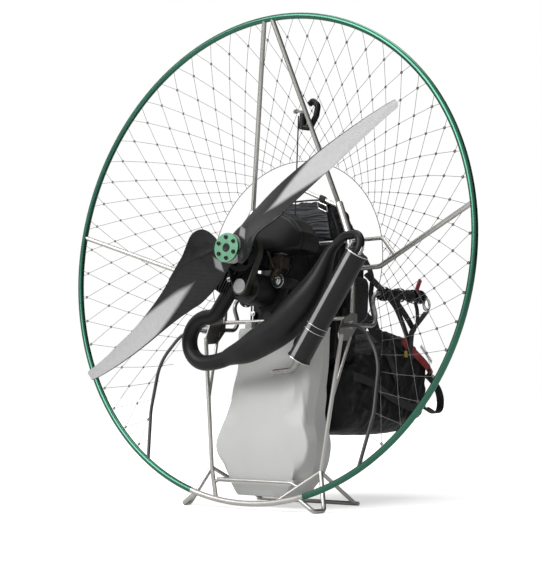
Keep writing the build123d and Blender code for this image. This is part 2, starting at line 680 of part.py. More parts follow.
# --- exhaust: header bend, expansion chamber, return bend, silencer and tail pipe --------------------------
PIPE_WALL = 1.5
EXHAUST_Y = -15.0
SILENCER_Y = -42.0
HEADER_R = 23.0
HEADER_BEND_R = 67.0
HEADER_CENTRE = (-158.0, -245.0)
HEADER_TOP_Z = HEADER_CENTRE[1] + HEADER_BEND_R
HEADER_FOOT_Z = HEADER_CENTRE[1] - HEADER_BEND_R
PORT = (-70.0, -88.0)
PORT_BEND_X = -132.0
PORT_BEND_R = 40.0
MOUTH_X, MOUTH_Z = -84.0, -300.0
MOUTH_HEADING = 2 * degrees(atan2(MOUTH_Z - HEADER_FOOT_Z, MOUTH_X - HEADER_CENTRE[0]))
RETURN_R = 12.5
SILENCER_R = 31.0
TAIL_R = 9.0
CHAMBER_STATIONS = (
    # x, z, heading in degrees, radius
    (MOUTH_X, MOUTH_Z, MOUTH_HEADING, HEADER_R),
    (-74, -296, 19, 25),
    (-20, -281, 23, 36),
    (40, -253, 32, 44),
    (108, -217, 40, 47),
    (152, -179, 45, 47.5),
    (207, -121, 50, 42),
    (243, -64, 58, 29),
    (267, -11, 54, 17),
    (286, 11, 38, RETURN_R),
)

with BuildPart() as exhaust_header:
    with BuildLine(Plane.XZ.offset(-EXHAUST_Y)) as line:
        FilletPolyline(PORT, (PORT_BEND_X, HEADER_TOP_Z), (HEADER_CENTRE[0], HEADER_TOP_Z),
                       radius=PORT_BEND_R)
        bend = CenterArc(HEADER_CENTRE, HEADER_BEND_R, 90, 180)
        TangentArc(bend @ 1, (MOUTH_X, MOUTH_Z), tangent=bend % 1)
    sweep_tube(line.line, HEADER_R, PIPE_WALL)
    add([crankcase.part, cylinder.part, cylinder_head.part], mode=Mode.SUBTRACT)
    keep_largest(exhaust_header)
pieces["exhaust_header"] = exhaust_header


def chamber_loft(shrink, mode):
    """Loft the chamber's wall, or the hollow inside it, through round sections on its bent axis."""
    rings = []
    for x, z, heading, radius in CHAMBER_STATIONS:
        axis = Vector(cos(radians(heading)), 0, sin(radians(heading)))
        with BuildSketch(Plane(origin=(x, EXHAUST_Y, z), x_dir=(0, 1, 0), z_dir=axis)) as ring:
            Circle(radius - shrink)
        rings.append(ring.sketch)
    loft(rings, mode=mode)


with BuildPart() as exhaust_chamber:
    chamber_loft(0, Mode.ADD)
    chamber_loft(PIPE_WALL, Mode.SUBTRACT)
pieces["exhaust_chamber"] = exhaust_chamber

SILENCER_TOP = Vector(375, SILENCER_Y, -21)
SILENCER_END = Vector(195, SILENCER_Y, -309)
silencer_axis = (SILENCER_END - SILENCER_TOP).normalized()
silencer_length = (SILENCER_END - SILENCER_TOP).length
chamber_x, chamber_z, chamber_heading, chamber_r = CHAMBER_STATIONS[-1]
ARCH_TOP_Z = 33.0
ARCH_R = 34.6
arch_rise = ARCH_TOP_Z - chamber_z
arch_reach = (ARCH_TOP_Z - SILENCER_TOP.Z) / -silencer_axis.Z
arch_start = Vector(chamber_x, EXHAUST_Y, chamber_z)
arch_first = Vector(chamber_x + arch_rise / sin(radians(chamber_heading)) * cos(radians(chamber_heading)),
                    EXHAUST_Y, ARCH_TOP_Z)
arch_second = SILENCER_TOP - silencer_axis * arch_reach
with BuildPart() as return_bend:
    with BuildLine() as line:
        FilletPolyline(arch_start, arch_first, arch_second, SILENCER_TOP, radius=ARCH_R)
    sweep_tube(line.line, RETURN_R, PIPE_WALL)
    add(exhaust_chamber.part, mode=Mode.SUBTRACT)
    keep_largest(return_bend)
pieces["return_bend"] = return_bend

CAP_RING_R = SILENCER_R + 2.0
CAP_RING_T = 7.0
CAP_CHAMFER = 1.5
SILENCER_WALL = 4.0
silencer_plane = Plane(origin=SILENCER_TOP, x_dir=(0, 1, 0), z_dir=silencer_axis)
with BuildPart() as silencer:
    with BuildSketch(silencer_plane):
        Circle(SILENCER_R)
    extrude(amount=silencer_length)
    for distance in (0, silencer_length - CAP_RING_T):
        with BuildSketch(silencer_plane.offset(distance)):
            Circle(CAP_RING_R)
        extrude(amount=CAP_RING_T)
    end_faces = silencer.faces().filter_by(GeomType.PLANE).filter_by(lambda f: f.area > pi * SILENCER_R**2)
    chamfer(end_faces.edges(), length=CAP_CHAMFER)
    with BuildSketch(silencer_plane.offset(PIPE_WALL)):
        Circle(SILENCER_R - SILENCER_WALL)
    extrude(amount=silencer_length - 2 * PIPE_WALL, mode=Mode.SUBTRACT)
pieces["silencer"] = silencer

BAND_AT = 238.0
BAND_WIDTH = 18.0
BAND_T = 1.0
BAND_RIM = 2.5
with BuildPart() as silencer_band:
    with BuildSketch(silencer_plane.offset(BAND_AT)):
        Circle(SILENCER_R + BAND_T)
    extrude(amount=BAND_WIDTH)
    for distance in (BAND_AT, BAND_AT + BAND_WIDTH - BAND_RIM):
        with BuildSketch(silencer_plane.offset(distance)):
            Circle(SILENCER_R + BAND_RIM)
        extrude(amount=BAND_RIM)
    with BuildSketch(silencer_plane.offset(BAND_AT)):
        Circle(SILENCER_R)
    extrude(amount=BAND_WIDTH, mode=Mode.SUBTRACT)
pieces["silencer_band"] = silencer_band

TAIL_REACH = 36.0
TAIL_END = (112.0, SILENCER_Y, -345.0)
TAIL_BEND_R = 26.0
with BuildPart() as tail_pipe:
    with BuildLine() as line:
        FilletPolyline(SILENCER_END, SILENCER_END + silencer_axis * TAIL_REACH, TAIL_END,
                       radius=TAIL_BEND_R)
    sweep_tube(line.line, TAIL_R, PIPE_WALL)
pieces["tail_pipe"] = tail_pipe

# --- harness: plain closed solids in the real pads' places ----------------------------------------
BACK_REAR_Y = 187.0
BACK_HALF_WIDTH = 160.0
BACK_HALF_OUTLINE = ((110, 200), (BACK_HALF_WIDTH, 70), (BACK_HALF_WIDTH, -300))
BACK_CORNER_R = 50.0
BACK_DEPTH = 200.0
BACK_PANEL_WIDTH = 260.0
BACK_PANEL_MARGIN = 12.0
SEAT_HALF_WIDTH = 192.0
SEAT_TOP_Z = -190.0
BACK_PROFILE = ((187, -300), (187, 176), (215, 196), (285, 186), (322, 100), (362, 15), (348, -60),
                (330, -130), (320, -240), (320, -300))
SEAT_PROFILE = ((187, -300), (187, -500), (440, -496), (600, -478), (664, -420), (690, -340), (680, -262),
                (640, -200), (560, -165), (480, -175), (400, -230), (320, -240), (320, -300))
with BuildPart() as harness_back:
    with BuildSketch(Plane.YZ.offset(-BACK_HALF_WIDTH)):
        with BuildLine():
            Polyline(*BACK_PROFILE, close=True)
        make_face()
    extrude(amount=2 * BACK_HALF_WIDTH)
    with BuildSketch(Plane.XZ.offset(-BACK_REAR_Y)) as outline:
        with BuildLine():
            Polyline(*BACK_HALF_OUTLINE, *[(-x, z) for x, z in reversed(BACK_HALF_OUTLINE)], close=True)
        make_face()
        fillet(outline.vertices().group_by(Axis.Z)[-1], radius=BACK_CORNER_R)
    extrude(amount=-BACK_DEPTH, mode=Mode.INTERSECT)
    with Locations((0, (BACK_REAR_Y + CROSS_Y + LEG_R) / 2, (UPPER_CROSS_Z + LOWER_CROSS_Z) / 2)):
        Box(BACK_PANEL_WIDTH, BACK_REAR_Y - CROSS_Y - LEG_R,
            UPPER_CROSS_Z - LOWER_CROSS_Z + 2 * BACK_PANEL_MARGIN)
pieces["harness_back"] = harness_back

with BuildPart() as harness_seat:
    with BuildSketch(Plane.YZ.offset(-SEAT_HALF_WIDTH)) as outline:
        with BuildLine():
            Polyline(*SEAT_PROFILE, close=True)
        make_face()
    extrude(amount=2 * SEAT_HALF_WIDTH)
pieces["harness_seat"] = harness_seat

# --- weight-shift arms: they swing up from their stops on the hip plates' pins --------------------
ARM_X = 256.0
ARM_R = 6.5
EYE_R = 11.0
EYE_HALF_WIDTH = 9.5
PIN_CLEARANCE = 0.1
PIN_BORE_HALF = 30.0
ARM_BEND_R = 28.0
ARM_POINTS = ((ARM_X, PIVOT_Y + 8, PIVOT_Z), (ARM_X, 262, -184), (ARM_X, 210, -92), (ARM_X, 525, -66))
SLEEVE_R = 15.0
SLEEVE_START = (ARM_X, 262.0, -87.71)
SLEEVE_END = (ARM_X, 504.0, -67.73)
RING_R = 17.0
RING_WIRE_R = 4.0
RING_CENTRE = (ARM_X, 530.0, -87.0)
STRAP_WIDTH = 25.0
STRAP_PROFILE = ((258, -110), (208, -168), (203, -245), (200, -245), (204, -170), (254, -110))
for side_name, side in SIDES:
    with BuildPart() as swing_arm:
        with BuildLine() as line:
            FilletPolyline(*mirrored(side, *ARM_POINTS), radius=ARM_BEND_R)
        sweep_tube(line.line, ARM_R)
        straight_tube(*mirrored(side, (ARM_X - EYE_HALF_WIDTH, PIVOT_Y, PIVOT_Z),
                                (ARM_X + EYE_HALF_WIDTH, PIVOT_Y, PIVOT_Z)), EYE_R)
        with BuildSketch(Plane.YZ.offset(side * (ARM_X - PIN_BORE_HALF))):
            with Locations((PIVOT_Y, PIVOT_Z)):
                Circle(PIN_R + PIN_CLEARANCE)
        extrude(amount=side * 2 * PIN_BORE_HALF, mode=Mode.SUBTRACT)
    pieces[f"swing_arm_{side_name}"] = swing_arm

    with BuildPart() as arm_sleeve:
        straight_tube(*mirrored(side, SLEEVE_START, SLEEVE_END), SLEEVE_R)
        add(swing_arm.part, mode=Mode.SUBTRACT)
    pieces[f"arm_sleeve_{side_name}"] = arm_sleeve

    with BuildPart() as hang_ring:
        with Locations(Location(mirrored(side, RING_CENTRE)[0], (0, 90, 0))):
            Torus(RING_R, RING_WIRE_R)
        add(swing_arm.part, mode=Mode.SUBTRACT)
        keep_largest(hang_ring)
    pieces[f"hang_ring_{side_name}"] = hang_ring

    with BuildPart() as hang_strap:
        with BuildSketch(Plane.XZ.offset(-(RING_CENTRE[1] - STRAP_WIDTH / 2))):
            with BuildLine():
                Polyline(*[(side * x, z) for x, z in STRAP_PROFILE], close=True)
            make_face()
        extrude(amount=-STRAP_WIDTH)
    pieces[f"hang_strap_{side_name}"] = hang_strap

# --- pull starter: a taut rope from the starter up to a grip that hooks on the right top spar -----
ROPE_R = 2.0
ROPE_TOP = (44.0, 112.0, 436.0)
GUIDE_R = 3.5
GUIDE_BALL = (28.0, 115.0, 452.0)
GUIDE_TIP = (36.0, 111.5, 450.2)
GUIDE_BALL_R = 6.5
GUIDE_ROOT = (89.0, 88.0, 438.0)
GRIP_R = 9.0
GRIP_BLOCK_R = 11.5
GRIP_BLOCK = ((58, 118, 442), (56, 118, 396))
GRIP_BENDS = (10, 18, 12, 6)
GRIP_LOOP = ((57, 118, 402), (84, 118, 396), (104, 119, 430), (109, 119, 462), (90, 118, 478),
             (78, 118, 468))
with BuildPart() as starter_guide:
    straight_tube(GUIDE_ROOT, GUIDE_BALL, GUIDE_R)
    straight_tube(GUIDE_TIP, GUIDE_BALL, GUIDE_BALL_R)
    add(pieces["top_spar_right"].part, mode=Mode.SUBTRACT)
    keep_largest(starter_guide)
pieces["starter_guide"] = starter_guide

with BuildPart() as starter_grip:
    straight_tube(*GRIP_BLOCK, GRIP_BLOCK_R)
    with BuildLine() as line:
        FilletPolyline(*GRIP_LOOP, radius=GRIP_BENDS)
    sweep_tube(line.line, GRIP_R)
    add([starter_guide.part, pieces["top_spar_right"].part], mode=Mode.SUBTRACT)
    keep_largest(starter_grip)
pieces["starter_grip"] = starter_grip

with BuildPart() as starter_rope:
    straight_tube(ROPE_EXIT, ROPE_TOP, ROPE_R)
    add([starter_guide.part, starter_grip.part, recoil_starter.part], mode=Mode.SUBTRACT)
    keep_largest(starter_rope)
pieces["starter_rope"] = starter_rope

for name, piece in pieces.items():
    store(piece, name)
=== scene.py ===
"""Looks of a back-worn engine unit with a netted hoop cage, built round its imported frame.

Lengths are metres.  Pieces are worked out in the machine's own upright frame, with the hoop's centre at
the origin, x to the right seen from the propeller, y towards the pilot and z up, and lean() carries them
to the parked attitude that the frame's propeller joint gives.
"""
import json
import math

import bmesh
import bpy
import numpy as np
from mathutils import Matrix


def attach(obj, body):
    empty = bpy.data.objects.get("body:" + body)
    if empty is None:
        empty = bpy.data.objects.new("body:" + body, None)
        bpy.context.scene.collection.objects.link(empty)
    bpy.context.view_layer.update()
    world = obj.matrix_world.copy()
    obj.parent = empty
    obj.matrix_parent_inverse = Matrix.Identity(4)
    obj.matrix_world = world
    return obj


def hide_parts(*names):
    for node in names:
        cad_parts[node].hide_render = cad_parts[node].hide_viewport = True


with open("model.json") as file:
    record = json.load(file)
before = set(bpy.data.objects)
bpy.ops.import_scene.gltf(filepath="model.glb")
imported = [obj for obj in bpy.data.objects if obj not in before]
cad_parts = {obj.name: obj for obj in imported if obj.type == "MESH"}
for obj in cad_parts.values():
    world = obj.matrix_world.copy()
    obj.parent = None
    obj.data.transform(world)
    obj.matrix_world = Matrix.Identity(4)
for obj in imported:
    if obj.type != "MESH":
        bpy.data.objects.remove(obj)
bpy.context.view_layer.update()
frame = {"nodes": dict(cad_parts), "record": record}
NODES = frame["nodes"]
JOINTS = {joint["name"]: joint for joint in frame["record"]["behaviour"]["joints"]}
SPIN = JOINTS["propeller_spin"]
HOOP_CENTRE = np.array(SPIN["pos_m"], float)
FORWARD = np.array(SPIN["axis"], float)
SIDEWAYS = np.array([1.0, 0.0, 0.0])
UPWARD = np.cross(SIDEWAYS, FORWARD)
ATTITUDE = np.stack([SIDEWAYS, FORWARD, UPWARD])
MM = 0.001
KEY_SIDE = (-0.35, -0.62, 0.62)


# --- places ------------------------------------------------------------------------------------

def lean(points):
    """Machine-frame points to the row frame: centre + x * sideways + y * forward + z * upward."""
    return HOOP_CENTRE + np.asarray(points, float) @ ATTITUDE


def unit(vectors):
    """Vectors divided by their own length."""
    vectors = np.asarray(vectors, float)
    return vectors / np.maximum(np.linalg.norm(vectors, axis=-1, keepdims=True), 1e-12)


def smooth_path(points, count):
    """Uniform Catmull-Rom curve through the points, sampled count times at equal steps of its parameter."""
    points = np.asarray(points, float)
    knots = np.concatenate([2 * points[:1] - points[1:2], points, 2 * points[-1:] - points[-2:-1]])
    spans = len(knots) - 3
    place = np.linspace(0, spans, count)
    index = np.minimum(place.astype(int), spans - 1)
    t = (place - index)[:, None]
    a, b, c, d = (knots[index + shift] for shift in range(4))
    return 0.5 * (2 * b + (c - a) * t + (2 * a - 5 * b + 4 * c - d) * t ** 2
                  + (3 * b - a - 3 * c + d) * t ** 3)


# --- surfaces ----------------------------------------------------------------------------------

def full_turn(count):
    """Angles of a full turn in equal steps, without the last."""
    return np.linspace(0, 2 * np.pi, count, endpoint=False)


def squared(wave, power):
    """A wave with its sign kept and its size raised to a power, which squares a round section."""
    return np.sign(wave) * np.abs(wave) ** power


def end_caps(rows, columns):
    """The two end faces of a tube of rows by columns points."""
    last = (rows - 1) * columns
    return [list(range(columns))[::-1], list(range(last, last + columns))]


def grid_faces(rows, columns, wrap_rows=False, wrap_columns=True):
    """Quads of a grid of rows by columns, closed round either way."""
    i = np.arange(rows if wrap_rows else rows - 1)[:, None]
    j = np.arange(columns if wrap_columns else columns - 1)[None, :]
    i2, j2 = (i + 1) % rows, (j + 1) % columns
    quads = np.stack([i * columns + j, i * columns + j2, i2 * columns + j2, i2 * columns + j], axis=-1)
    return quads.reshape(-1, 4)


def repeated(faces, times, points):
    """The same faces many times over, each time a number of points further on."""
    return (faces[None] + (np.arange(times) * points)[:, None, None]).reshape(-1, 4).tolist()


def tube(path, radius, sides=12, closed=False, reference=(0.13, 0.21, 0.97)):
    """Round tube: path(u) + radius(u) * (cos v * across + sin v * over), where across is the path's
    direction crossed with a fixed reference and over completes the frame."""
    path = np.asarray(path, float)
    radius = np.broadcast_to(np.asarray(radius, float), len(path))
    along = unit(np.roll(path, -1, 0) - np.roll(path, 1, 0)) if closed else unit(np.gradient(path, axis=0))
    across = unit(np.cross(along, reference))
    over = np.cross(along, across)
    v = full_turn(sides)[None, :, None]
    ring = np.cos(v) * across[:, None] + np.sin(v) * over[:, None]
    verts = path[:, None] + radius[:, None, None] * ring
    faces = grid_faces(len(path), sides, wrap_rows=closed).tolist()
    if not closed:
        faces += end_caps(len(path), sides)
    return verts.reshape(-1, 3), faces


def bars(starts, ends, radius, sides=5):
    """Many straight round bars at once: a ring of points about each end of every bar."""
    starts, ends = np.asarray(starts, float), np.asarray(ends, float)
    along = unit(ends - starts)
    across = unit(np.cross(along, (0.13, 0.21, 0.97)))
    over = np.cross(along, across)
    v = full_turn(sides)[None, :, None]
    ring = radius * (np.cos(v) * across[:, None] + np.sin(v) * over[:, None])
    verts = np.stack([starts[:, None] + ring, ends[:, None] + ring], axis=1)
    return verts.reshape(-1, 3), repeated(grid_faces(2, sides), len(starts), 2 * sides)


def turned(profile, origin, axis, sides=32):
    """Turned form: a profile of (distance along the axis, radius) carried round the axis."""
    profile = np.asarray(profile, float)
    axis = unit(axis)
    across = unit(np.cross(axis, (0.13, 0.97, 0.21)))
    over = np.cross(axis, across)
    v = full_turn(sides)[None, :, None]
    verts = (np.asarray(origin, float) + profile[:, :1, None] * axis
             + profile[:, 1:, None] * (np.cos(v) * across + np.sin(v) * over))
    return verts.reshape(-1, 3), grid_faces(len(profile), sides).tolist() + end_caps(len(profile), sides)


def block(centre, half, power=0.25, rows=14, columns=28):
    """Rounded block, a superellipsoid: each half size times cos or sin raised to a small power."""
    u = np.linspace(-np.pi / 2, np.pi / 2, rows)[1:-1, None]
    v = full_turn(columns)[None, :]
    level = squared(np.cos(u), power)
    shape = np.stack([level * squared(np.cos(v), power), level * squared(np.sin(v), power),
                      squared(np.sin(u), power) * np.ones_like(v)], axis=-1) * np.asarray(half, float)
    verts = (shape + np.asarray(centre, float)).reshape(-1, 3)
    return verts, grid_faces(rows - 2, columns).tolist() + end_caps(rows - 2, columns)


def strap(path, across, width, thickness=0.002, count=60):
    """Flat webbing: a rounded oblong section carried along a smooth path, lying along a given direction."""
    path = smooth_path(path, count)
    along = unit(np.gradient(path, axis=0))
    across = np.asarray(across, float)
    if across.ndim == 2:
        across = smooth_path(across, count)
    across = unit(across - np.sum(across * along, axis=1, keepdims=True) * along)
    over = np.cross(along, across)
    edge = np.array([(-1, 0), (-0.94, 1), (-0.5, 1.15), (0, 1), (0.5, 1.15), (0.94, 1),
                     (1, 0), (0.94, -1), (0.5, -1.15), (0, -1), (-0.5, -1.15), (-0.94, -1)])
    verts = (path[:, None] + edge[None, :, :1] * across[:, None] * width / 2
             + edge[None, :, 1:] * over[:, None] * thickness / 2)
    return verts.reshape(-1, 3), grid_faces(count, len(edge)).tolist() + end_caps(count, len(edge))


def mm(*points):
    """Points given in millimetres, in metres."""
    return np.array(points, float) * MM


STUFFED_ROWS, STUFFED_POWER = 80, 0.45


def stuffed(stations, upright, cap=0.03, columns=120):
    """Stuffed form along z (upright) or y: a rounded oblong section, cos and sin to a power, between smooth
    stations of (place, low, high, half width) in mm.  Near both ends the half sizes shrink by
    cap * (1 - sqrt(1 - (1 - d / cap)^2)), d being the distance to the end, which rounds the ends."""
    knots = mm(*stations)
    place, low, high, half = smooth_path(knots, STUFFED_ROWS).T
    ends = np.array([0.0, 0.04, 0.12, 0.25, 0.42, 0.62, 0.82]) * cap
    between = np.linspace(place[0] + cap, place[-1] - cap, STUFFED_ROWS)
    grid = np.unique(np.concatenate([place[0] + ends, between, place[-1] - ends]))
    low, high, half = (np.interp(grid, place, value) for value in (low, high, half))
    near = np.clip(np.minimum(grid - grid[0], grid[-1] - grid) / cap, 0, 1)
    inset = cap * (1 - np.sqrt(1 - (1 - near) ** 2))
    half, deep, middle = half - inset, (high - low) / 2 - inset, (high + low) / 2
    v = full_turn(columns)[None]
    wide = squared(np.cos(v), STUFFED_POWER) * half[:, None]
    tall = squared(np.sin(v), STUFFED_POWER) * deep[:, None] + middle[:, None]
    line = np.broadcast_to(grid[:, None], wide.shape)
    verts = np.stack([wide, tall, line] if upright else [wide, line, tall], axis=-1).reshape(-1, 3)
    return verts, grid_faces(len(grid), columns).tolist() + end_caps(len(grid), columns)


RIDGE_SETS, RIDGE_LIFT = 8, 2.2


def crumple(points, seed, size):
    """Height of crumpled cloth from 0 to about 1: the mean of sharp ridges (1 - |sin(k . p + warp)|)^3 in
    seeded directions, each bent by slower waves across it."""
    chance = np.random.default_rng(seed)
    height = np.zeros(len(points))
    for _ in range(RIDGE_SETS):
        ways = unit(chance.normal(size=(3, 3)))
        k = np.pi / (size * chance.uniform(0.55, 1.7))
        shifts = chance.uniform(0, 2 * np.pi, 3)
        warp = (1.6 * np.sin(points @ ways[1] * k * 0.6 + shifts[1])
                + 0.7 * np.sin(points @ ways[2] * k * 1.7 + shifts[2]))
        height += (1 - np.abs(np.sin(points @ ways[0] * k + warp + shifts[0]))) ** 3
    return height / RIDGE_SETS * RIDGE_LIFT


def vertex_normals(verts, faces):
    """Unit normals at the points: the sum of the cross products of each quad's diagonals."""
    quads = np.array([face for face in faces if len(face) == 4])
    cross = np.cross(verts[quads[:, 2]] - verts[quads[:, 0]], verts[quads[:, 3]] - verts[quads[:, 1]])
    total = np.zeros_like(verts)
    for corner in range(4):
        np.add.at(total, quads[:, corner], cross)
    outward = np.sign(np.sum(total * (verts - verts.mean(0))))
    return unit(total) * outward


PAD_PRESSURE, PAD_SWELL = 4.0, 0.024
PAD_STEPS = 20


def puffed(surface, pinned, voxel=0.006):
    """Padding pressed out from inside: the form is remeshed and blown up as cloth under inner pressure
    with its seams pinned, and no point moves by more than PAD_SWELL."""
    verts, faces = surface
    scene = bpy.context.scene
    mesh = bpy.data.meshes.new("padding")
    mesh.from_pydata(verts, [], faces)
    pad = bpy.data.objects.new("padding", mesh)
    scene.collection.objects.link(pad)
    remesh = pad.modifiers.new("remesh", "REMESH")
    remesh.mode = "VOXEL"
    remesh.voxel_size = voxel
    even = bpy.data.meshes.new_from_object(pad.evaluated_get(bpy.context.evaluated_depsgraph_get()))
    pad.modifiers.clear()
    pad.data = even
    count = len(even.vertices)
    start = np.empty(count * 3)
    even.vertices.foreach_get("co", start)
    start = start.reshape(-1, 3)
    held = pad.vertex_groups.new(name="seams")
    held.add(np.nonzero(pinned(start))[0].tolist(), 1.0, "REPLACE")
    cloth = pad.modifiers.new("cloth", "CLOTH")
    cloth.settings.vertex_group_mass = "seams"
    cloth.settings.use_pressure = True
    cloth.settings.uniform_pressure_force = PAD_PRESSURE
    cloth.settings.tension_stiffness = 12
    cloth.settings.compression_stiffness = 12
    cloth.settings.bending_stiffness = 0.4
    cloth.settings.effector_weights.gravity = 0
    for step in range(1, PAD_STEPS + 1):
        scene.frame_set(step)
    blown = bpy.data.meshes.new_from_object(pad.evaluated_get(bpy.context.evaluated_depsgraph_get()))
    end = np.empty(count * 3)
    blown.vertices.foreach_get("co", end)
    way = end.reshape(-1, 3) - start
    length = np.linalg.norm(way, axis=1, keepdims=True)
    end = start + way * np.minimum(1, PAD_SWELL / np.maximum(length, 1e-9))
    pieces = [list(face.vertices) for face in even.polygons]
    bpy.data.objects.remove(pad)
    scene.frame_set(1)
    return end, pieces


def joined(parts):
    """Several (verts, faces) pairs as one."""
    verts, faces, start = [], [], 0
    for part_verts, part_faces in parts:
        verts.append(part_verts)
        faces += [[start + index for index in face] for face in part_faces]
        start += len(part_verts)
    return np.concatenate(verts), faces


def placed(name, data):
    """A new object of the scene with its data."""
    made = bpy.data.objects.new(name, data)
    bpy.context.scene.collection.objects.link(made)
    return made


def piece(name, surface, finish, body="chassis", replaces=(), levels=0, chart=None):
    """A finished piece from (verts, faces): its mesh outward-facing, its finish, its body and its
    UV map where a chart of one (u, v) a point is given."""
    verts, faces = surface
    mesh = bpy.data.meshes.new(name)
    mesh.from_pydata(lean(verts), [], faces)
    work = bmesh.new()
    work.from_mesh(mesh)
    bmesh.ops.recalc_face_normals(work, faces=work.faces)
    work.to_mesh(mesh)
    work.free()
    mesh.polygons.foreach_set("use_smooth", np.ones(len(mesh.polygons), bool))
    if chart is not None:
        corner = np.empty(len(mesh.loops), int)
        mesh.loops.foreach_get("vertex_index", corner)
        mesh.uv_layers.new(name="chart").data.foreach_set("uv", np.asarray(chart, float)[corner].ravel())
    mesh.update()
    mesh.materials.append(finish)
    made = placed(name, mesh)
    if levels:
        rounding = made.modifiers.new("rounding", "SUBSURF")
        rounding.levels = levels
        rounding.render_levels = levels
    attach(made, body)
    if replaces:
        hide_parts(*replaces)
    return made


# --- finishes ----------------------------------------------------------------------------------

class Nodes:
    """The nodes of one tree."""

    def __init__(self, tree):
        self.tree = tree

    def add(self, kind, links=None, values=None, **settings):
        """A node with its settings, its socket values and what feeds its sockets."""
        made = self.tree.nodes.new("ShaderNode" + kind)
        for key, value in settings.items():
            setattr(made, key, value)
        for key, value in (values or {}).items():
            made.inputs[key].default_value = value
        for key, source in (links or {}).items():
            self.tree.links.new(source, made.inputs[key])
        return made


class Finish(Nodes):
    """A node material in the making, with one Principled shader."""

    def __init__(self, name, **sockets):
        self.material = bpy.data.materials.new(name)
        self.material.use_nodes = True
        super().__init__(self.material.node_tree)
        self.shader = self.tree.nodes["Principled BSDF"]
        for socket, value in sockets.items():
            self.shader.inputs[socket.replace("_", " ")].default_value = value
        self.coordinates = self.add("TexCoord").outputs["Object"]

    def feed(self, socket, source):
        """Links a source to one of the shader's sockets."""
        self.tree.links.new(source, self.shader.inputs[socket])

    def math(self, operation, first, second=None):
        """One arithmetic step on sources or numbers."""
        made = self.tree.nodes.new("ShaderNodeMath")
        made.operation = operation
        for index, value in enumerate((first, second)):
            if isinstance(value, (int, float)):
                made.inputs[index].default_value = value
            elif value is not None:
                self.tree.links.new(value, made.inputs[index])
        return made.outputs[0]

    def noise(self, scale, detail=3.0, roughness=0.55, stretch=(1, 1, 1)):
        """Noise on the object's coordinates, stretched along its axes."""
        mapped = self.add("Mapping", {"Vector": self.coordinates}, {"Scale": stretch})
        return self.add("TexNoise", {"Vector": mapped.outputs[0]},
                        {"Scale": scale, "Detail": detail, "Roughness": roughness}).outputs["Fac"]

    def ramp(self, source, stops):
        """Colours or greys at given places of a source from 0 to 1."""
        made = self.add("ValToRGB", {"Fac": source})
        elements = made.color_ramp.elements
        while len(elements) < len(stops):
            elements.new(0.5)
        for element, (place, colour) in zip(elements, stops):
            element.position = place
            element.color = (*colour, 1) if isinstance(colour, tuple) else (colour, colour, colour, 1)
        return made.outputs["Color"]

    def wave(self, source, length):
        """Sine of a source in metres, with a given wave length."""
        return self.math("SINE", self.math("MULTIPLY", source, 2 * math.pi / length))

    def span(self, source, low, high, first=0.0, last=1.0, kind="LINEAR"):
        """A source mapped from low..high to first..last."""
        return self.add("MapRange", {"Value": source},
                        {"From Min": low, "From Max": high, "To Min": first, "To Max": last},
                        interpolation_type=kind).outputs["Result"]

    def mix(self, share, first, second):
        """Two colours mixed by a share from 0 to 1, fed to the base colour."""
        mixed = self.add("Mix", {0: share, 6: first, 7: second}, data_type="RGBA")
        self.feed("Base Color", mixed.outputs[2])

    def bump(self, source, strength, distance, below=None):
        """Bump from a height source; a second one lies on the first."""
        links = {"Height": source}
        if below is not None:
            links["Normal"] = below
        return self.add("Bump", links, {"Strength": strength, "Distance": distance}).outputs[0]


def cast_finish(name, dark, light, scale, rough, metallic=0.0, grain=900.0, relief=0.15, depth=0.0004,
                **sockets):
    """Mottled finish: colour and roughness drift on a coarse noise, and a fine grain stands as bump."""
    made = Finish(name, Metallic=metallic, **sockets)
    drift = made.noise(scale, 4.0, 0.6)
    made.feed("Base Color", made.ramp(drift, [(0.3, dark), (0.7, light)]))
    made.feed("Roughness", made.ramp(drift, [(0.25, rough[0]), (0.75, rough[1])]))
    made.feed("Normal", made.bump(made.noise(grain, 2.0, 0.5), relief, depth))
    return made.material


def titanium_finish():
    """Drawn tube: warm grey metal with fine lengthwise scratches and soft heat tint."""
    made = Finish("titanium_tube", Metallic=1.0)
    tint = made.noise(9.0, 3.0, 0.6)
    made.feed("Base Color", made.ramp(tint, [(0.3, (0.47, 0.455, 0.43)), (0.55, (0.55, 0.535, 0.51)),
                                             (0.8, (0.50, 0.485, 0.46))]))
    scratch = made.noise(420.0, 2.0, 0.7, (1.0, 1.0, 0.08))
    made.feed("Roughness", made.ramp(scratch, [(0.2, 0.29), (0.8, 0.34)]))
    return made.material


def hoop_finish():
    """Green anodised aluminium: deep green under a clear satin layer, with faint drawing lines."""
    made = Finish("green_anodised_tube", Metallic=1.0, Coat_Weight=0.35, Coat_Roughness=0.14)
    drift = made.noise(5.0, 3.0, 0.5)
    made.feed("Base Color", made.ramp(drift, [(0.3, (0.030, 0.125, 0.080)), (0.7, (0.042, 0.16, 0.105))]))
    made.feed("Roughness", made.ramp(made.noise(40.0), [(0.2, 0.22), (0.8, 0.28)]))
    return made.material


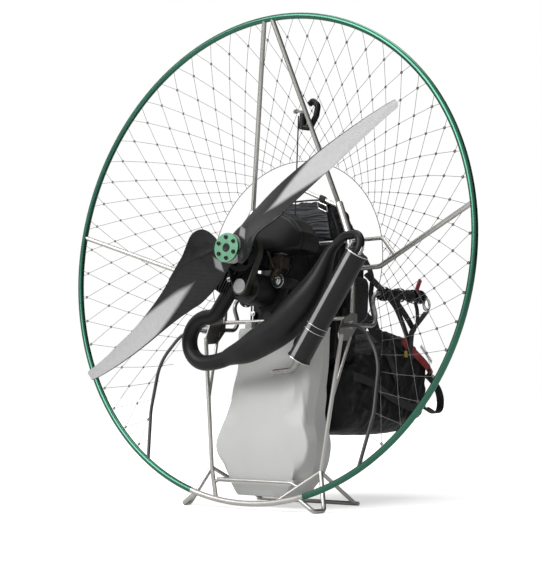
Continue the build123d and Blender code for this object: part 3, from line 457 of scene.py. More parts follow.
def blade_finish():
    """Carbon weave with a silver tongue on each blade that widens from mid chord into the whole tip.

    The chart gives the share of the chord from the nose and the distance along the blade.  The silver's
    half width grows from nothing at TONGUE_START, and a dark edge stays along the nose.  A light patch on
    each neck is a painted reflection of the glossy root.  The weave is two crossing sets of tows, sin(a)
    times sin(b), and level rows over them."""
    made = Finish("blade_carbon_and_silver", Coat_Weight=0.12, Coat_Roughness=0.12, Specular_IOR_Level=0.2)
    split = made.add("SeparateXYZ", {0: made.add("UVMap", uv_map="chart").outputs[0]})
    chord, reach = split.outputs[0], split.outputs[1]
    place = made.add("SeparateXYZ", {0: made.coordinates})
    across, up = place.outputs[0], place.outputs[2]
    first = made.wave(made.math("ADD", across, up), TOW_LENGTH)
    second = made.wave(made.math("SUBTRACT", across, up), TOW_LENGTH)
    rows = made.wave(up, ROW_LENGTH)
    twill = made.math("GREATER_THAN", made.math("MULTIPLY", first, second), 0.0)
    shade = made.math("ADD", made.math("MULTIPLY", twill, 0.35),
                      made.math("ADD", made.math("MULTIPLY", rows, 0.30),
                                made.math("MULTIPLY", made.noise(60.0), 0.4)))
    carbon = made.ramp(shade, [(0.05, (0.003, 0.003, 0.0035)), (0.85, (0.030, 0.030, 0.032))])
    silver = made.ramp(made.noise(90.0, 2.0), [(0.3, (0.43, 0.43, 0.43)), (0.7, (0.47, 0.47, 0.47))])
    grain = made.math("MULTIPLY", made.math("SUBTRACT", made.noise(500.0, 1.0), 0.5), 0.03)
    half = made.math("ADD", made.math("MULTIPLY", made.math("SUBTRACT", reach, TONGUE_START), TONGUE_FLARE),
                     grain)
    off = made.math("ABSOLUTE", made.math("SUBTRACT", chord, TONGUE_MIDDLE))
    soft = made.span(made.math("SUBTRACT", half, off), -0.07, 0.10, kind="SMOOTHSTEP")
    clear = made.span(chord, NOSE_EDGE, NOSE_EDGE + 0.03)
    # painted reflection: a light patch on each blade's neck stands for the glossy root reflecting light, not
    # a silver coat
    neck = made.math("ADD", made.math("ABSOLUTE", made.math("SUBTRACT", reach, NECK_REFLECTION_REACH)),
                     made.math("MULTIPLY", made.math("ABSOLUTE", made.math("SUBTRACT", chord, NECK_REFLECTION_CHORD)),
                               0.035))
    patch = made.span(neck, 0.008, 0.016, 0.55, 0.0, "SMOOTHSTEP")
    silver_and_reflection = made.math("MAXIMUM", made.math("MULTIPLY", soft, clear), patch)
    made.mix(silver_and_reflection, carbon, silver)
    made.feed("Roughness", made.ramp(silver_and_reflection, [(0.0, 0.26), (1.0, 0.40)]))
    made.feed("Normal", made.bump(twill, 0.06, 0.0001))
    return made.material


def silencer_finish():
    """Black sleeve with a painted reflection: a light grey band along one side stands for a lamp's
    reflection, laid on the half that faces the front direction, which points towards the camera.  The band
    lies where the dot product with the side direction is between the low and high shares of the radius."""
    made = Finish("silencer_sleeve", Specular_IOR_Level=0.3)
    centred = made.add("VectorMath", {0: made.coordinates}, operation="SUBTRACT")
    centred.inputs[1].default_value = tuple(lean(SILENCER_TOP))
    dots = []
    for way in (REFLECTION_SIDE, REFLECTION_FRONT):
        dot = made.add("VectorMath", {0: centred.outputs[0]}, operation="DOT_PRODUCT")
        dot.inputs[1].default_value = tuple(way @ ATTITUDE / SILENCER_R)
        dots.append(dot.outputs["Value"])
    # painted reflection: a light band where the sleeve faces the side direction and the camera's way
    rise = made.span(dots[0], REFLECTION_LOW - 0.03, REFLECTION_LOW + 0.03)
    fall = made.span(dots[0], REFLECTION_HIGH + 0.02, REFLECTION_HIGH - 0.02)
    reflection_mask = made.math("MULTIPLY", made.math("MULTIPLY", rise, fall),
                      made.math("GREATER_THAN", dots[1], 0.0))
    drift = made.noise(20.0)
    black = made.ramp(drift, [(0.3, (0.007, 0.007, 0.0075)), (0.7, (0.012, 0.012, 0.0125))])
    # painted reflection: the light grey of a lamp's reflection, laid over the black
    reflection_grey = made.ramp(drift, [(0.3, (0.24, 0.24, 0.245)), (0.7, (0.34, 0.34, 0.345))])
    made.mix(reflection_mask, black, reflection_grey)
    made.feed("Roughness", made.ramp(reflection_mask, [(0.0, 0.34), (1.0, 0.24)]))
    made.feed("Normal", made.bump(made.noise(900.0, 2.0), 0.05, 0.0002))
    return made.material


def woven_finish(name, dark, light, thread=0.0012, rough=(0.55, 0.8), relief=0.35, sheen=0.06, gloss=0.3):
    """Woven nylon: two crossing sine sets of threads for bump, with soft patches of wear in the colour."""
    made = Finish(name, Sheen_Weight=sheen, Sheen_Roughness=0.45, Specular_IOR_Level=gloss)
    split = made.add("SeparateXYZ", {0: made.coordinates})
    warp = made.wave(made.math("ADD", split.outputs[0], split.outputs[1]), thread)
    weft = made.wave(made.math("ADD", split.outputs[2], split.outputs[1]), thread)
    cloth = made.math("MULTIPLY", warp, weft)
    patch = made.noise(18.0, 4.0, 0.6)
    made.feed("Base Color", made.ramp(patch, [(0.3, dark), (0.75, light)]))
    made.feed("Roughness", made.ramp(patch, [(0.3, rough[1]), (0.8, rough[0])]))
    wrinkle = made.bump(made.noise(45.0, 4.0, 0.6), 0.35, 0.004)
    made.feed("Normal", made.bump(cloth, relief, 0.0003, wrinkle))
    return made.material


SILENCER_TOP, SILENCER_END = mm((375, -42, -21), (195, -42, -309))
SILENCER_WAY = unit(SILENCER_END - SILENCER_TOP)
SILENCER_SIDE = np.cross(SILENCER_WAY, (0, 1, 0))
SILENCER_R = 0.031
# Painted reflection on the silencer: the front way points towards the camera, and the side way with the two
# shares of the radius places the light band.
REFLECTION_FRONT = unit(np.array([0.50, -0.81, -0.313]))
REFLECTION_SIDE = unit(np.array([-0.687, -0.59, 0.429]))
REFLECTION_LOW, REFLECTION_HIGH = 0.50, 0.80
BLADE_ANGLE = math.radians(34.0)
TONGUE_START, TONGUE_FLARE = 0.165, 2.5
TONGUE_MIDDLE, NOSE_EDGE = 0.50, 0.035
TOW_LENGTH, ROW_LENGTH = 0.0046, 0.0036
# place of the painted reflection patch on each blade's neck
NECK_REFLECTION_REACH, NECK_REFLECTION_CHORD = 0.058, 0.45

titanium = titanium_finish()
hoop_green = hoop_finish()
blade = blade_finish()
tank_plastic = cast_finish("tank_plastic", (0.50, 0.505, 0.49), (0.55, 0.555, 0.54), 4.0, (0.36, 0.46),
                           grain=1400.0, relief=0.08, depth=0.0003)
black_plastic = cast_finish("moulded_black_plastic", (0.006, 0.006, 0.0065), (0.011, 0.011, 0.012), 12.0,
                            (0.34, 0.46), grain=1500.0, relief=0.06, Specular_IOR_Level=0.2)
black_alloy = cast_finish("black_cast_alloy", (0.008, 0.008, 0.0085), (0.018, 0.018, 0.019), 30.0,
                          (0.36, 0.52), grain=1100.0, relief=0.18, Specular_IOR_Level=0.28)
bronze_alloy = cast_finish("brown_cast_alloy", (0.045, 0.032, 0.024), (0.095, 0.070, 0.052), 90.0,
                           (0.38, 0.52), metallic=0.6, grain=900.0, relief=0.2)
pulley_alloy = cast_finish("turned_pulley_alloy", (0.20, 0.19, 0.195), (0.27, 0.26, 0.265), 60.0,
                           (0.34, 0.46), metallic=0.8, relief=0.08)
bolt_black = cast_finish("blackened_bolt", (0.02, 0.02, 0.021), (0.04, 0.04, 0.042), 60.0, (0.18, 0.28),
                         metallic=0.6, relief=0.05)
belt_rubber = cast_finish("drive_belt_rubber", (0.016, 0.017, 0.011), (0.032, 0.034, 0.022), 45.0,
                          (0.45, 0.6), grain=900.0, relief=0.25)
rod_alloy = cast_finish("satin_grey_rod", (0.055, 0.055, 0.058), (0.085, 0.085, 0.088), 14.0, (0.38, 0.5),
                        metallic=0.5, relief=0.05)
arm_alloy = cast_finish("worn_arm_alloy", (0.26, 0.255, 0.25), (0.38, 0.375, 0.37), 30.0, (0.30, 0.45),
                        metallic=0.9, relief=0.08)
bright_alloy = cast_finish("machined_alloy", (0.55, 0.55, 0.56), (0.66, 0.66, 0.67), 40.0, (0.22, 0.36),
                           metallic=1.0, relief=0.08)
exhaust_black = cast_finish("exhaust_coating", (0.008, 0.008, 0.0085), (0.014, 0.014, 0.0145), 14.0,
                            (0.34, 0.44), grain=1300.0, relief=0.06, Specular_IOR_Level=0.22)
bright_steel = cast_finish("bright_steel", (0.55, 0.55, 0.55), (0.68, 0.68, 0.68), 60.0, (0.16, 0.28),
                           metallic=1.0, relief=0.05)
chrome = cast_finish("polished_steel", (0.24, 0.23, 0.22), (0.36, 0.35, 0.34), 30.0, (0.07, 0.13),
                     metallic=1.0, relief=0.03)
silencer_black = silencer_finish()
rubber = cast_finish("black_rubber", (0.012, 0.012, 0.012), (0.022, 0.022, 0.022), 35.0, (0.62, 0.82),
                     grain=800.0, relief=0.3)
green_plate = cast_finish("green_anodised_plate", (0.10, 0.25, 0.155), (0.14, 0.31, 0.20), 25.0,
                          (0.30, 0.42), metallic=0.8, relief=0.05)
nylon = woven_finish("black_nylon", (0.0035, 0.0035, 0.0045), (0.010, 0.010, 0.012), rough=(0.42, 0.62),
                     gloss=0.18, sheen=0.03)
glossy_nylon = woven_finish("coated_blue_black_nylon", (0.004, 0.005, 0.008), (0.011, 0.013, 0.019),
                            rough=(0.32, 0.46), relief=0.15, gloss=0.32)
mesh_fabric = woven_finish("spacer_mesh", (0.004, 0.004, 0.004), (0.012, 0.012, 0.012), thread=0.004,
                           relief=0.8)
yellow_fabric = woven_finish("yellow_tag", (0.35, 0.25, 0.02), (0.5, 0.36, 0.04), thread=0.0015)
pale_thread = cast_finish("pale_lacing", (0.35, 0.36, 0.36), (0.5, 0.5, 0.5), 60.0, (0.5, 0.7), relief=0.2)
webbing = woven_finish("black_webbing", (0.008, 0.008, 0.009), (0.02, 0.02, 0.022), thread=0.002,
                       relief=0.5)
red_webbing = woven_finish("red_webbing", (0.20, 0.012, 0.016), (0.34, 0.03, 0.035), thread=0.002,
                           relief=0.5)
cord_grey = cast_finish("net_cord", (0.10, 0.10, 0.105), (0.15, 0.15, 0.155), 60.0, (0.6, 0.8),
                        grain=2500.0, relief=0.3)
knot_dark = cast_finish("knot_sleeve", (0.05, 0.05, 0.052), (0.09, 0.09, 0.092), 60.0, (0.5, 0.7),
                        relief=0.2)

FINISH_OF = {
    "hoop_tube": hoop_green, "titanium": titanium, "anodised_plate": green_plate,
    "tank_plastic": tank_plastic,
    "black_plastic": black_plastic, "cap_plastic": black_plastic, "cast_alloy": black_alloy,
    "bright_alloy": bright_alloy, "bronze_alloy": bronze_alloy, "black_exhaust": exhaust_black,
    "bright_steel": bright_steel,
    "chrome_steel": chrome, "rubber_black": rubber, "carbon": blade, "harness_fabric": nylon,
    "webbing": webbing, "rope_fabric": webbing,
}
NODE_FINISH = {"silencer": silencer_black, "engine_plate": black_alloy, "small_pulley": pulley_alloy,
               "drive_belt": belt_rubber,
               "net_rod_left": rod_alloy, "net_rod_right": rod_alloy, "swing_arm_left": arm_alloy,
               "swing_arm_right": arm_alloy}
REMADE = {"propeller", "harness_back", "harness_seat", "arm_sleeve_left", "arm_sleeve_right",
          "silencer_band"}
BODY_OF = {node: body for body, held in frame["record"]["behaviour"]["bodies"].items() for node in held}
SHARP = math.radians(41.0)


def refined(entry, finish):
    """A frame node's smooth stand-in: its mesh with the loose triangles joined at their corners, edges
    sharper than SHARP kept hard, and normals weighted by face area."""
    node = NODES[entry["node"]]
    mesh = node.data.copy()
    work = bmesh.new()
    work.from_mesh(mesh)
    bmesh.ops.remove_doubles(work, verts=work.verts, dist=2e-6)
    for edge in work.edges:
        edge.smooth = edge.is_manifold and edge.calc_face_angle(0) < SHARP
    work.to_mesh(mesh)
    work.free()
    mesh.polygons.foreach_set("use_smooth", np.ones(len(mesh.polygons), bool))
    mesh.materials.clear()
    mesh.materials.append(finish)
    made = placed(entry["node"] + "_surface", mesh)
    made.modifiers.new("shading", "WEIGHTED_NORMAL").keep_sharp = True
    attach(made, BODY_OF[entry["node"]])
    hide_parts(entry["node"])


for entry in frame["record"]["subparts"]:
    finish = NODE_FINISH.get(entry["node"], FINISH_OF[entry["material_slot"]])
    for holder in NODES[entry["node"]].material_slots:
        holder.material = finish
    if entry["node"] not in REMADE:
        refined(entry, finish)

# --- propeller ---------------------------------------------------------------------------------
BLADE_EDGES = np.array([
    (14, 34, -113, -20, -127), (30, 38, -112, -23, -128), (45, 40.9, -110.5, -25.7, -130.7),
    (60, 43.7, -106.2, -27, -134.9), (80, 49.4, -104.7, -29, -141.5), (100, 53, -103.5, -33.5, -151.6),
    (125, 55.9, -101.8, -38.6, -158), (150, 58.5, -102.1, -42.3, -158.6), (180, 60.6, -103.6, -45, -154.8),
    (210, 58.9, -108.8, -43.5, -149.4), (250, 56.5, -113.8, -36.1, -140.7),
    (300, 54.1, -115.5, -29.4, -131.3),
    (350, 52.0, -114.9, -24.2, -124.6), (400, 49.4, -113.2, -20.3, -118.5),
    (450, 45.2, -111.2, -16.7, -116),
    (500, 39.6, -110.2, -14.2, -115.2), (550, 32.6, -109.6, -12.8, -115), (600, 23.7, -109.4, -13, -115.6),
    (628, 17.0, -109.9, -15, -117), (637, 14.5, -110.5, -13.5, -116.5),
    (640, 11.0, -111.2, -10.5, -115.8)]) * MM
HUB_REAR_Y, HUB_BOLT_R = -0.143, 0.030
REARWARD = (0, -1, 0)
BLADE_THICK = np.array([(14, 24), (60, 21), (125, 17), (180, 14), (250, 11), (350, 8), (450, 6), (550, 4.6),
                        (628, 3.4), (640, 1.4)]) * MM
FIN_CREASE = np.array([(22, -30, -134), (30, -27, -131), (45, -25.7, -130.7), (66, -27.5, -137),
                       (84, -29.6, -143.5),
                       (100, -33.5, -151.6), (125, -38.6, -158), (150, -42.3, -158.6), (180, -45, -154.8),
                       (214, -43, -148.8)]) * MM
FIN_EDGE = np.array([(18, -50, -142), (21, -70, -156), (33, -86, -165), (51, -91, -172), (72, -87, -175),
                     (102, -67, -177), (125, -54.4, -176), (150, -50.5, -170), (180, -48, -159.5),
                     (214, -43.6, -149.8)]) * MM


def blade_place(points, angle):
    """Blade coordinates (distance out, round, along the shaft) to the machine frame."""
    out = np.array([math.cos(angle), 0, math.sin(angle)])
    around = np.array([-math.sin(angle), 0, math.cos(angle)])
    return points[..., :1] * out + points[..., 1:2] * around + points[..., 2:] * np.array([0, 1, 0])


def blade_surface(angle):
    """One blade, lofted along smooth edges: at each distance a wing section between its nose and tail,
    T * min(sqrt(s / 0.3), 1) * (1 - 0.85 s^1.6) thick, with a camber of 5% of the chord."""
    edges = smooth_path(BLADE_EDGES, 190)
    reach, nose, tail = edges[:, 0], edges[:, 1:3], edges[:, 3:5]
    thick = np.interp(reach, *BLADE_THICK.T)
    s = (1 - np.cos(np.linspace(0, np.pi, 20))) / 2
    half = np.minimum(np.sqrt(s / 0.3), 1) * (1 - 0.85 * s ** 1.6) / 2
    share = np.concatenate([s, s[-1:0:-1]])
    side = np.concatenate([half, -half[-1:0:-1]])
    chord = tail - nose
    long = np.linalg.norm(chord, axis=1)
    normal = np.stack([chord[:, 1], -chord[:, 0]], axis=1) / long[:, None]
    normal *= np.sign(normal[:, 1:2])
    camber = 0.05 * long[:, None] * 4 * share * (1 - share)
    section = (nose[:, None] + chord[:, None] * share[None, :, None]
               + normal[:, None] * (camber + thick[:, None] * side)[..., None])
    points = np.concatenate([np.broadcast_to(reach[:, None, None], section.shape[:2] + (1,)), section],
                            axis=-1)
    verts = blade_place(points, angle).reshape(-1, 3)
    faces = grid_faces(len(reach), len(share)).tolist() + end_caps(len(reach), len(share))
    chart = np.stack([np.broadcast_to(share, section.shape[:2]),
                      np.broadcast_to(reach[:, None], section.shape[:2])], axis=-1).reshape(-1, 2)
    return (verts, faces), chart


def fin_surface(angle):
    """The root's scooped fin: a sheet from the blade's crease to its own edge, hollowed by 10% of its width
    times 4 q (1 - q), thinning from 7 to 2.4 mm."""
    crease, edge = smooth_path(FIN_CREASE, 80), smooth_path(FIN_EDGE, 80)
    q = np.linspace(0, 1, 18)[None, :, None]
    wide = edge - crease
    hollow = np.stack([0 * wide[:, 0], wide[:, 2], -wide[:, 1]], axis=1)
    hollow *= np.sign(hollow[:, 2:3] + 1e-9)
    middle = crease[:, None] + wide[:, None] * q + 0.10 * hollow[:, None] * 4 * q * (1 - q)
    normal = unit(np.cross(np.gradient(middle, axis=0), np.gradient(middle, axis=1)))
    thick = (0.007 + (0.0024 - 0.007) * q) / 2
    both = np.concatenate([(middle + normal * thick).reshape(-1, 3),
                           (middle - normal * thick).reshape(-1, 3)])
    chart = np.tile(np.stack([1.0 + 0.5 * np.broadcast_to(q, middle.shape[:2] + (1,))[..., 0],
                              middle[..., 0]], axis=-1).reshape(-1, 2), (2, 1))
    return closed_sheet(blade_place(both, angle), 80, 18), chart


def make_propeller():
    """Two blades and their fins on one hub, the plate's bolts with black discs of painted shade in their
    sockets, and a black cap on the shaft's end whose dark is painted shade standing for the plate's centre
    hole.
    """
    parts, charts = [], []
    for angle in (BLADE_ANGLE, BLADE_ANGLE + math.pi):
        for surface, chart in (blade_surface(angle), fin_surface(angle)):
            parts.append(surface)
            charts.append(chart)
    hub = turned(mm((-137.2, 38), (-136.5, 40.5), (-134, 41.5), (-108, 41.5), (-105.5, 40), (-105, 36)),
                 (0, 0, 0), (0, 1, 0), 64)
    parts.append(hub)
    charts.append(np.full((len(hub[0]), 2), 1.4))
    piece("propeller_blades", joined(parts), blade, "propeller_unit", ("propeller",),
          chart=np.concatenate(charts))
    bolts, sockets = [], []
    for index in range(6):
        angle = BLADE_ANGLE + index * math.pi / 3
        place = (HUB_BOLT_R * math.cos(angle), HUB_REAR_Y, HUB_BOLT_R * math.sin(angle))
        bolts.append(turned(mm((-0.2, 6.2), (0.8, 6.2), (1.0, 5.0), (4.6, 5.0), (5.2, 4.4), (5.2, 2.9),
                               (2.6, 2.7)), place, REARWARD, 28))
        # painted shade: a black hexagon disc deep in each bolt's socket darkens the recess
        sockets.append(turned(mm((2.0, 2.9), (3.0, 2.6)), place, REARWARD, 6))
    piece("hub_bolts", joined(bolts), bolt_black, "propeller_unit")
    piece("hub_bolt_socket_shade", joined(sockets), black_plastic, "propeller_unit")
    # painted shade: the black cap darkens the hub's centre, where its hole would lie in shade
    piece("hub_centre_hole_shade", turned(mm((-0.5, 12.5), (1.0, 12.5), (1.8, 11.6), (1.8, 6.5), (0.6, 6.0)),
                                  (0, HUB_REAR_Y, 0), REARWARD, 40), black_alloy, "propeller_unit")


# --- net ---------------------------------------------------------------------------------------
KNOTS_ROUND = 56
HOOP_INNER_R = 0.7015
NET_RING_R = 0.315
NET_RING_Y = 0.18
FIRST_KNOT = math.radians(110.72)
KNOT_STEP = 2 * math.pi / KNOTS_ROUND
ROW_SHARES = np.array([1.0, 0.822, 0.669, 0.531, 0.412, 0.315, 0.232, 0.158, 0.093, 0.038])
ROD_POINTS = np.array([(246, 88, -205), (292, 80, -202), (334, 72, -214), (372, 62, -258), (395, 50, -325),
                       (402, 38, -400), (400, 26, -465), (388, 12, -535), (376, 0, -602)]) * MM


def from_bottom(angle):
    """Polar angle from straight down, without its sign."""
    return np.abs(np.angle(np.exp(1j * (angle - 1.5 * np.pi))))


ROD_LINE = smooth_path(ROD_POINTS, 200)
ROD_LINE = ROD_LINE[np.argsort(from_bottom(np.arctan2(ROD_LINE[:, 2], ROD_LINE[:, 0])))]
ROD_BOTTOM = from_bottom(np.arctan2(ROD_LINE[:, 2], ROD_LINE[:, 0]))
ROD_RADIUS = np.hypot(ROD_LINE[:, 0], ROD_LINE[:, 2])


def net_point(radius, angle):
    """Point of the net: a cone from the hoop's plane to the ring nearer the pilot, which below turns into
    the straight surface between the hoop and the two rods, by a smooth step of the angle."""
    cone = NET_RING_Y * (HOOP_INNER_R - radius) / (HOOP_INNER_R - NET_RING_R)
    bottom = from_bottom(angle)
    rod_y = np.interp(bottom, ROD_BOTTOM, ROD_LINE[:, 1])
    low = rod_y * (HOOP_INNER_R - radius) / (HOOP_INNER_R - np.interp(bottom, ROD_BOTTOM, ROD_RADIUS))
    turn = np.clip((ROD_BOTTOM[-1] - bottom) / 0.28, 0, 1)
    turn = turn ** 2 * (3 - 2 * turn)
    return np.stack([radius * np.cos(angle), cone * (1 - turn) + low * turn, radius * np.sin(angle)],
                    axis=-1)


def knot_radius(row, angle):
    """Radius of a row of knots: the outer row lies nearer the hoop at the bottom, and the rows close up
    towards the ring by fixed shares."""
    outer = np.minimum(0.691 - 0.037 * np.sin(angle) + 0.006 * np.cos(angle), 0.694)
    return NET_RING_R + (outer - NET_RING_R) * ROW_SHARES[row]


def net_edge_radius(angle):
    """Inner edge of the net by polar angle: the ring above, and the two sprung rods below."""
    bottom = from_bottom(angle)
    edge = np.interp(bottom, ROD_BOTTOM, ROD_RADIUS)
    return np.where(bottom > ROD_BOTTOM[-1], NET_RING_R, np.maximum(edge, NET_RING_R))


def make_net():
    """Diamond net: knots at half steps from row to row, threads between them, ties to hoop and ring."""
    count = len(ROW_SHARES)
    index = np.arange(KNOTS_ROUND)
    rows = np.arange(count)
    angles = FIRST_KNOT + KNOT_STEP * (index[None, :] + 0.5 * rows[:, None])
    radii = np.stack([knot_radius(row, angles[row]) for row in rows])
    places = net_point(radii, angles)
    inside = radii > net_edge_radius(angles) + 0.004
    knots = places[inside]
    starts, ends = [], []
    for shift in (0, -1):
        below = np.roll(places[1:], -shift, axis=1)
        below_in = np.roll(inside[1:], -shift, axis=1)
        above, above_in = places[:-1], inside[:-1]
        starts.append(above[above_in & below_in])
        ends.append(below[above_in & below_in])
        for kept, lost, cut in ((above, below, above_in & ~below_in), (below, above, below_in & ~above_in)):
            kept, lost = kept[cut], lost[cut]
            starts.append(kept)
            ends.append(kept + (lost - kept) * cut_share(kept, lost))
    for turn in (-0.5, 0.5):
        reach = (HOOP_INNER_R - radii[0]) / (radii[0] - radii[1])
        for row, radius, share in ((0, HOOP_INNER_R, reach), (-1, NET_RING_R, 0.4)):
            tied = net_point(np.full(KNOTS_ROUND, radius), angles[row] + turn * KNOT_STEP * share)
            starts.append(places[row][inside[row]])
            ends.append(tied[inside[row]])
    starts, ends = np.concatenate(starts), np.concatenate(ends)
    piece("net_threads", bars(starts, ends, 0.0007, 5), cord_grey)
    piece("net_knots", knot_loops(knots), knot_dark)
    sweep = np.radians(np.linspace(-44, 224, 160))
    ring = net_point(np.full(len(sweep), NET_RING_R), sweep)
    piece("net_ring", tube(ring, 0.0011, 8), cord_grey)


def cut_share(inner, outer):
    """How far along each thread from its kept knot the net's edge lies, found by 24 equal steps."""
    if not len(inner):
        return np.zeros((0, 1))
    t = np.linspace(0, 1, 24)[None, :, None]
    samples = inner[:, None] + (outer - inner)[:, None] * t
    radius = np.hypot(samples[..., 0], samples[..., 2])
    angle = np.arctan2(samples[..., 2], samples[..., 0])
    past = radius < net_edge_radius(angle)
    first = np.where(past.any(axis=1), past.argmax(axis=1), 23)
    return t[0, first]


def knot_loops(knots):
    """Small eyes at the crossings, each a round ring of cord square to the machine's axis, that shrink
    towards the net's ring."""
    radius = np.hypot(knots[:, 0], knots[:, 2])
    size = (0.0016 + 0.0018 * np.clip((radius - 0.36) / 0.3, 0, 1))[:, None, None, None]
    u = full_turn(7)[:, None, None]
    v = full_turn(4)[None, :, None]
    ring = np.concatenate([np.cos(u) * (1 + 0.42 * np.cos(v)), 0.42 * np.sin(v) + 0 * u,
                           np.sin(u) * (1 + 0.42 * np.cos(v))], axis=-1)
    verts = knots[:, None, None] + size * ring[None]
    return verts.reshape(-1, 3), repeated(grid_faces(7, 4, wrap_rows=True), len(knots), 28)


make_net()

# --- harness -----------------------------------------------------------------------------------
BACK_STATIONS = ((-300, 188, 322, 156), (-240, 188, 322, 158), (-130, 188, 332, 158), (-60, 188, 350, 158),
                 (15, 188, 360, 158), (70, 188, 344, 156), (110, 188, 322, 144), (155, 188, 300, 128),
                 (180, 194, 290, 118), (198, 204, 282, 108))
SEAT_STATIONS = ((189, -497, -302, 184), (250, -499, -290, 189), (320, -498, -244, 190),
                 (400, -497, -224, 191),
                 (480, -492, -178, 191), (560, -484, -166, 190), (630, -462, -190, 187),
                 (690, -420, -240, 180))
PLEAT_PITCH = 0.0135
SEAM_HALF = 0.004


def back_seams(points):
    """Points on the back pad's seams: across it every 95 mm and up its sides at mid depth."""
    across = np.abs((points[:, 2] + 0.02 + 0.0475) % 0.095 - 0.0475) < SEAM_HALF
    up = np.abs(np.abs(points[:, 0]) - 0.085) < SEAM_HALF
    return (across | up) & (points[:, 1] > 0.25) | (points[:, 1] < 0.205)


def seat_seams(points):
    """Points on the seat's seams: its flat bottom, its back and the piping lines up its sides."""
    ribs = np.abs((points[:, 1] - 0.24 + 0.07) % 0.14 - 0.07) < SEAM_HALF
    return ribs | (points[:, 2] < -0.485) | (points[:, 1] < 0.2)


def make_back():
    """Back pad: puffed form; crumples all over, and level pleats -|sin(pi z / pitch)| on its rear face."""
    verts, faces = puffed(stuffed(BACK_STATIONS, True, 0.035), back_seams)
    normals = vertex_normals(verts, faces)
    height = 0.010 * (crumple(verts, 3, 0.05) - 0.4) + 0.003 * (crumple(verts, 4, 0.016) - 0.4)
    rear = np.clip((0.215 - verts[:, 1]) / 0.02, 0, 1)
    pleated = (np.clip((verts[:, 2] - 0.088) / 0.01, 0, 1) * np.clip((0.183 - verts[:, 2]) / 0.01, 0, 1)
               * np.clip((0.145 - np.abs(verts[:, 0])) / 0.02, 0, 1) * rear)
    pleats = 0.5 - np.abs(np.sin(np.pi * (verts[:, 2] + 0.12 * verts[:, 0] ** 2) / PLEAT_PITCH))
    height = height * (1 - 0.8 * pleated) * (1 - 0.55 * rear) + pleated * (0.004 + 0.004 * pleats)
    moved = verts + normals * height[:, None]
    made = piece("harness_back_pad", (moved, faces), nylon,
                 replaces=("harness_back",), levels=1)
    piece("pleated_yoke", yoke_surface(), glossy_nylon)


def yoke_surface():
    """Shiny pleated panel over the pad's rear shoulder: a thin sheet y(x, z) that follows the pad 5 mm
    behind it, with pleats |sin(pi z / pitch)| that fade towards its edges."""
    u = np.linspace(-1, 1, 90)[:, None]
    v = np.linspace(0, 1, 110)[None]
    half = 0.128 - 0.022 * v
    x = u * half
    z = 0.086 + 0.106 * v - 0.016 * u ** 2
    fade = np.sqrt(np.clip(1 - np.abs(u) ** 6, 0, 1)) * np.sqrt(np.clip(np.sin(np.pi * v), 0, 1))
    pleat = np.abs(np.sin(np.pi * (z + 0.10 * x ** 2 + 0.002 * np.sin(60 * x)) / PLEAT_PITCH))
    uneven = 0.6 + 0.4 * np.sin(23 * x + 9 * np.sin(70 * z))
    y = 0.186 - 0.0042 * fade * (0.45 + 0.55 * pleat * uneven) + 0.5 * np.clip(v - 0.8, 0, 1) ** 1.5
    front = np.stack([x + 0 * v, y, z + 0 * u], axis=-1)
    back = front + np.array([0, 0.006, 0])
    verts = np.concatenate([front.reshape(-1, 3), back.reshape(-1, 3)])
    return closed_sheet(verts, 90, 110)


def closed_sheet(verts, rows, columns):
    """Faces of a sheet with two sides of rows by columns points each, closed round its edge."""
    count = rows * columns
    side = grid_faces(rows, columns, wrap_columns=False)
    index = np.arange(count).reshape(rows, columns)
    edge = np.concatenate([index[0], index[1:, -1], index[-1, -2::-1], index[-2:0:-1, 0]])
    after = np.roll(edge, -1)
    rim = np.stack([edge, after, after + count, edge + count], axis=1)
    return verts, np.concatenate([side, side[:, ::-1] + count, rim]).tolist()


def make_seat():
    """Seat and its side pockets: a puffed bag, crumpled with deep folds that fade on its flat bottom."""
    verts, faces = puffed(stuffed(SEAT_STATIONS, False, 0.05, columns=160), seat_seams, voxel=0.008)
    normals = vertex_normals(verts, faces)
    free = np.clip((verts[:, 2] + 0.49) / 0.06, 0.15, 1) * np.clip((verts[:, 1] - 0.19) / 0.03, 0.1, 1)
    folds = (0.020 * (crumple(verts * (1, 1, 0.6), 11, 0.085) - 0.45)
             + 0.006 * (crumple(verts, 12, 0.024) - 0.4))
    made = piece("harness_seat_bag", (verts + normals * (folds * free)[:, None], faces), nylon,
                 replaces=("harness_seat",), levels=1)


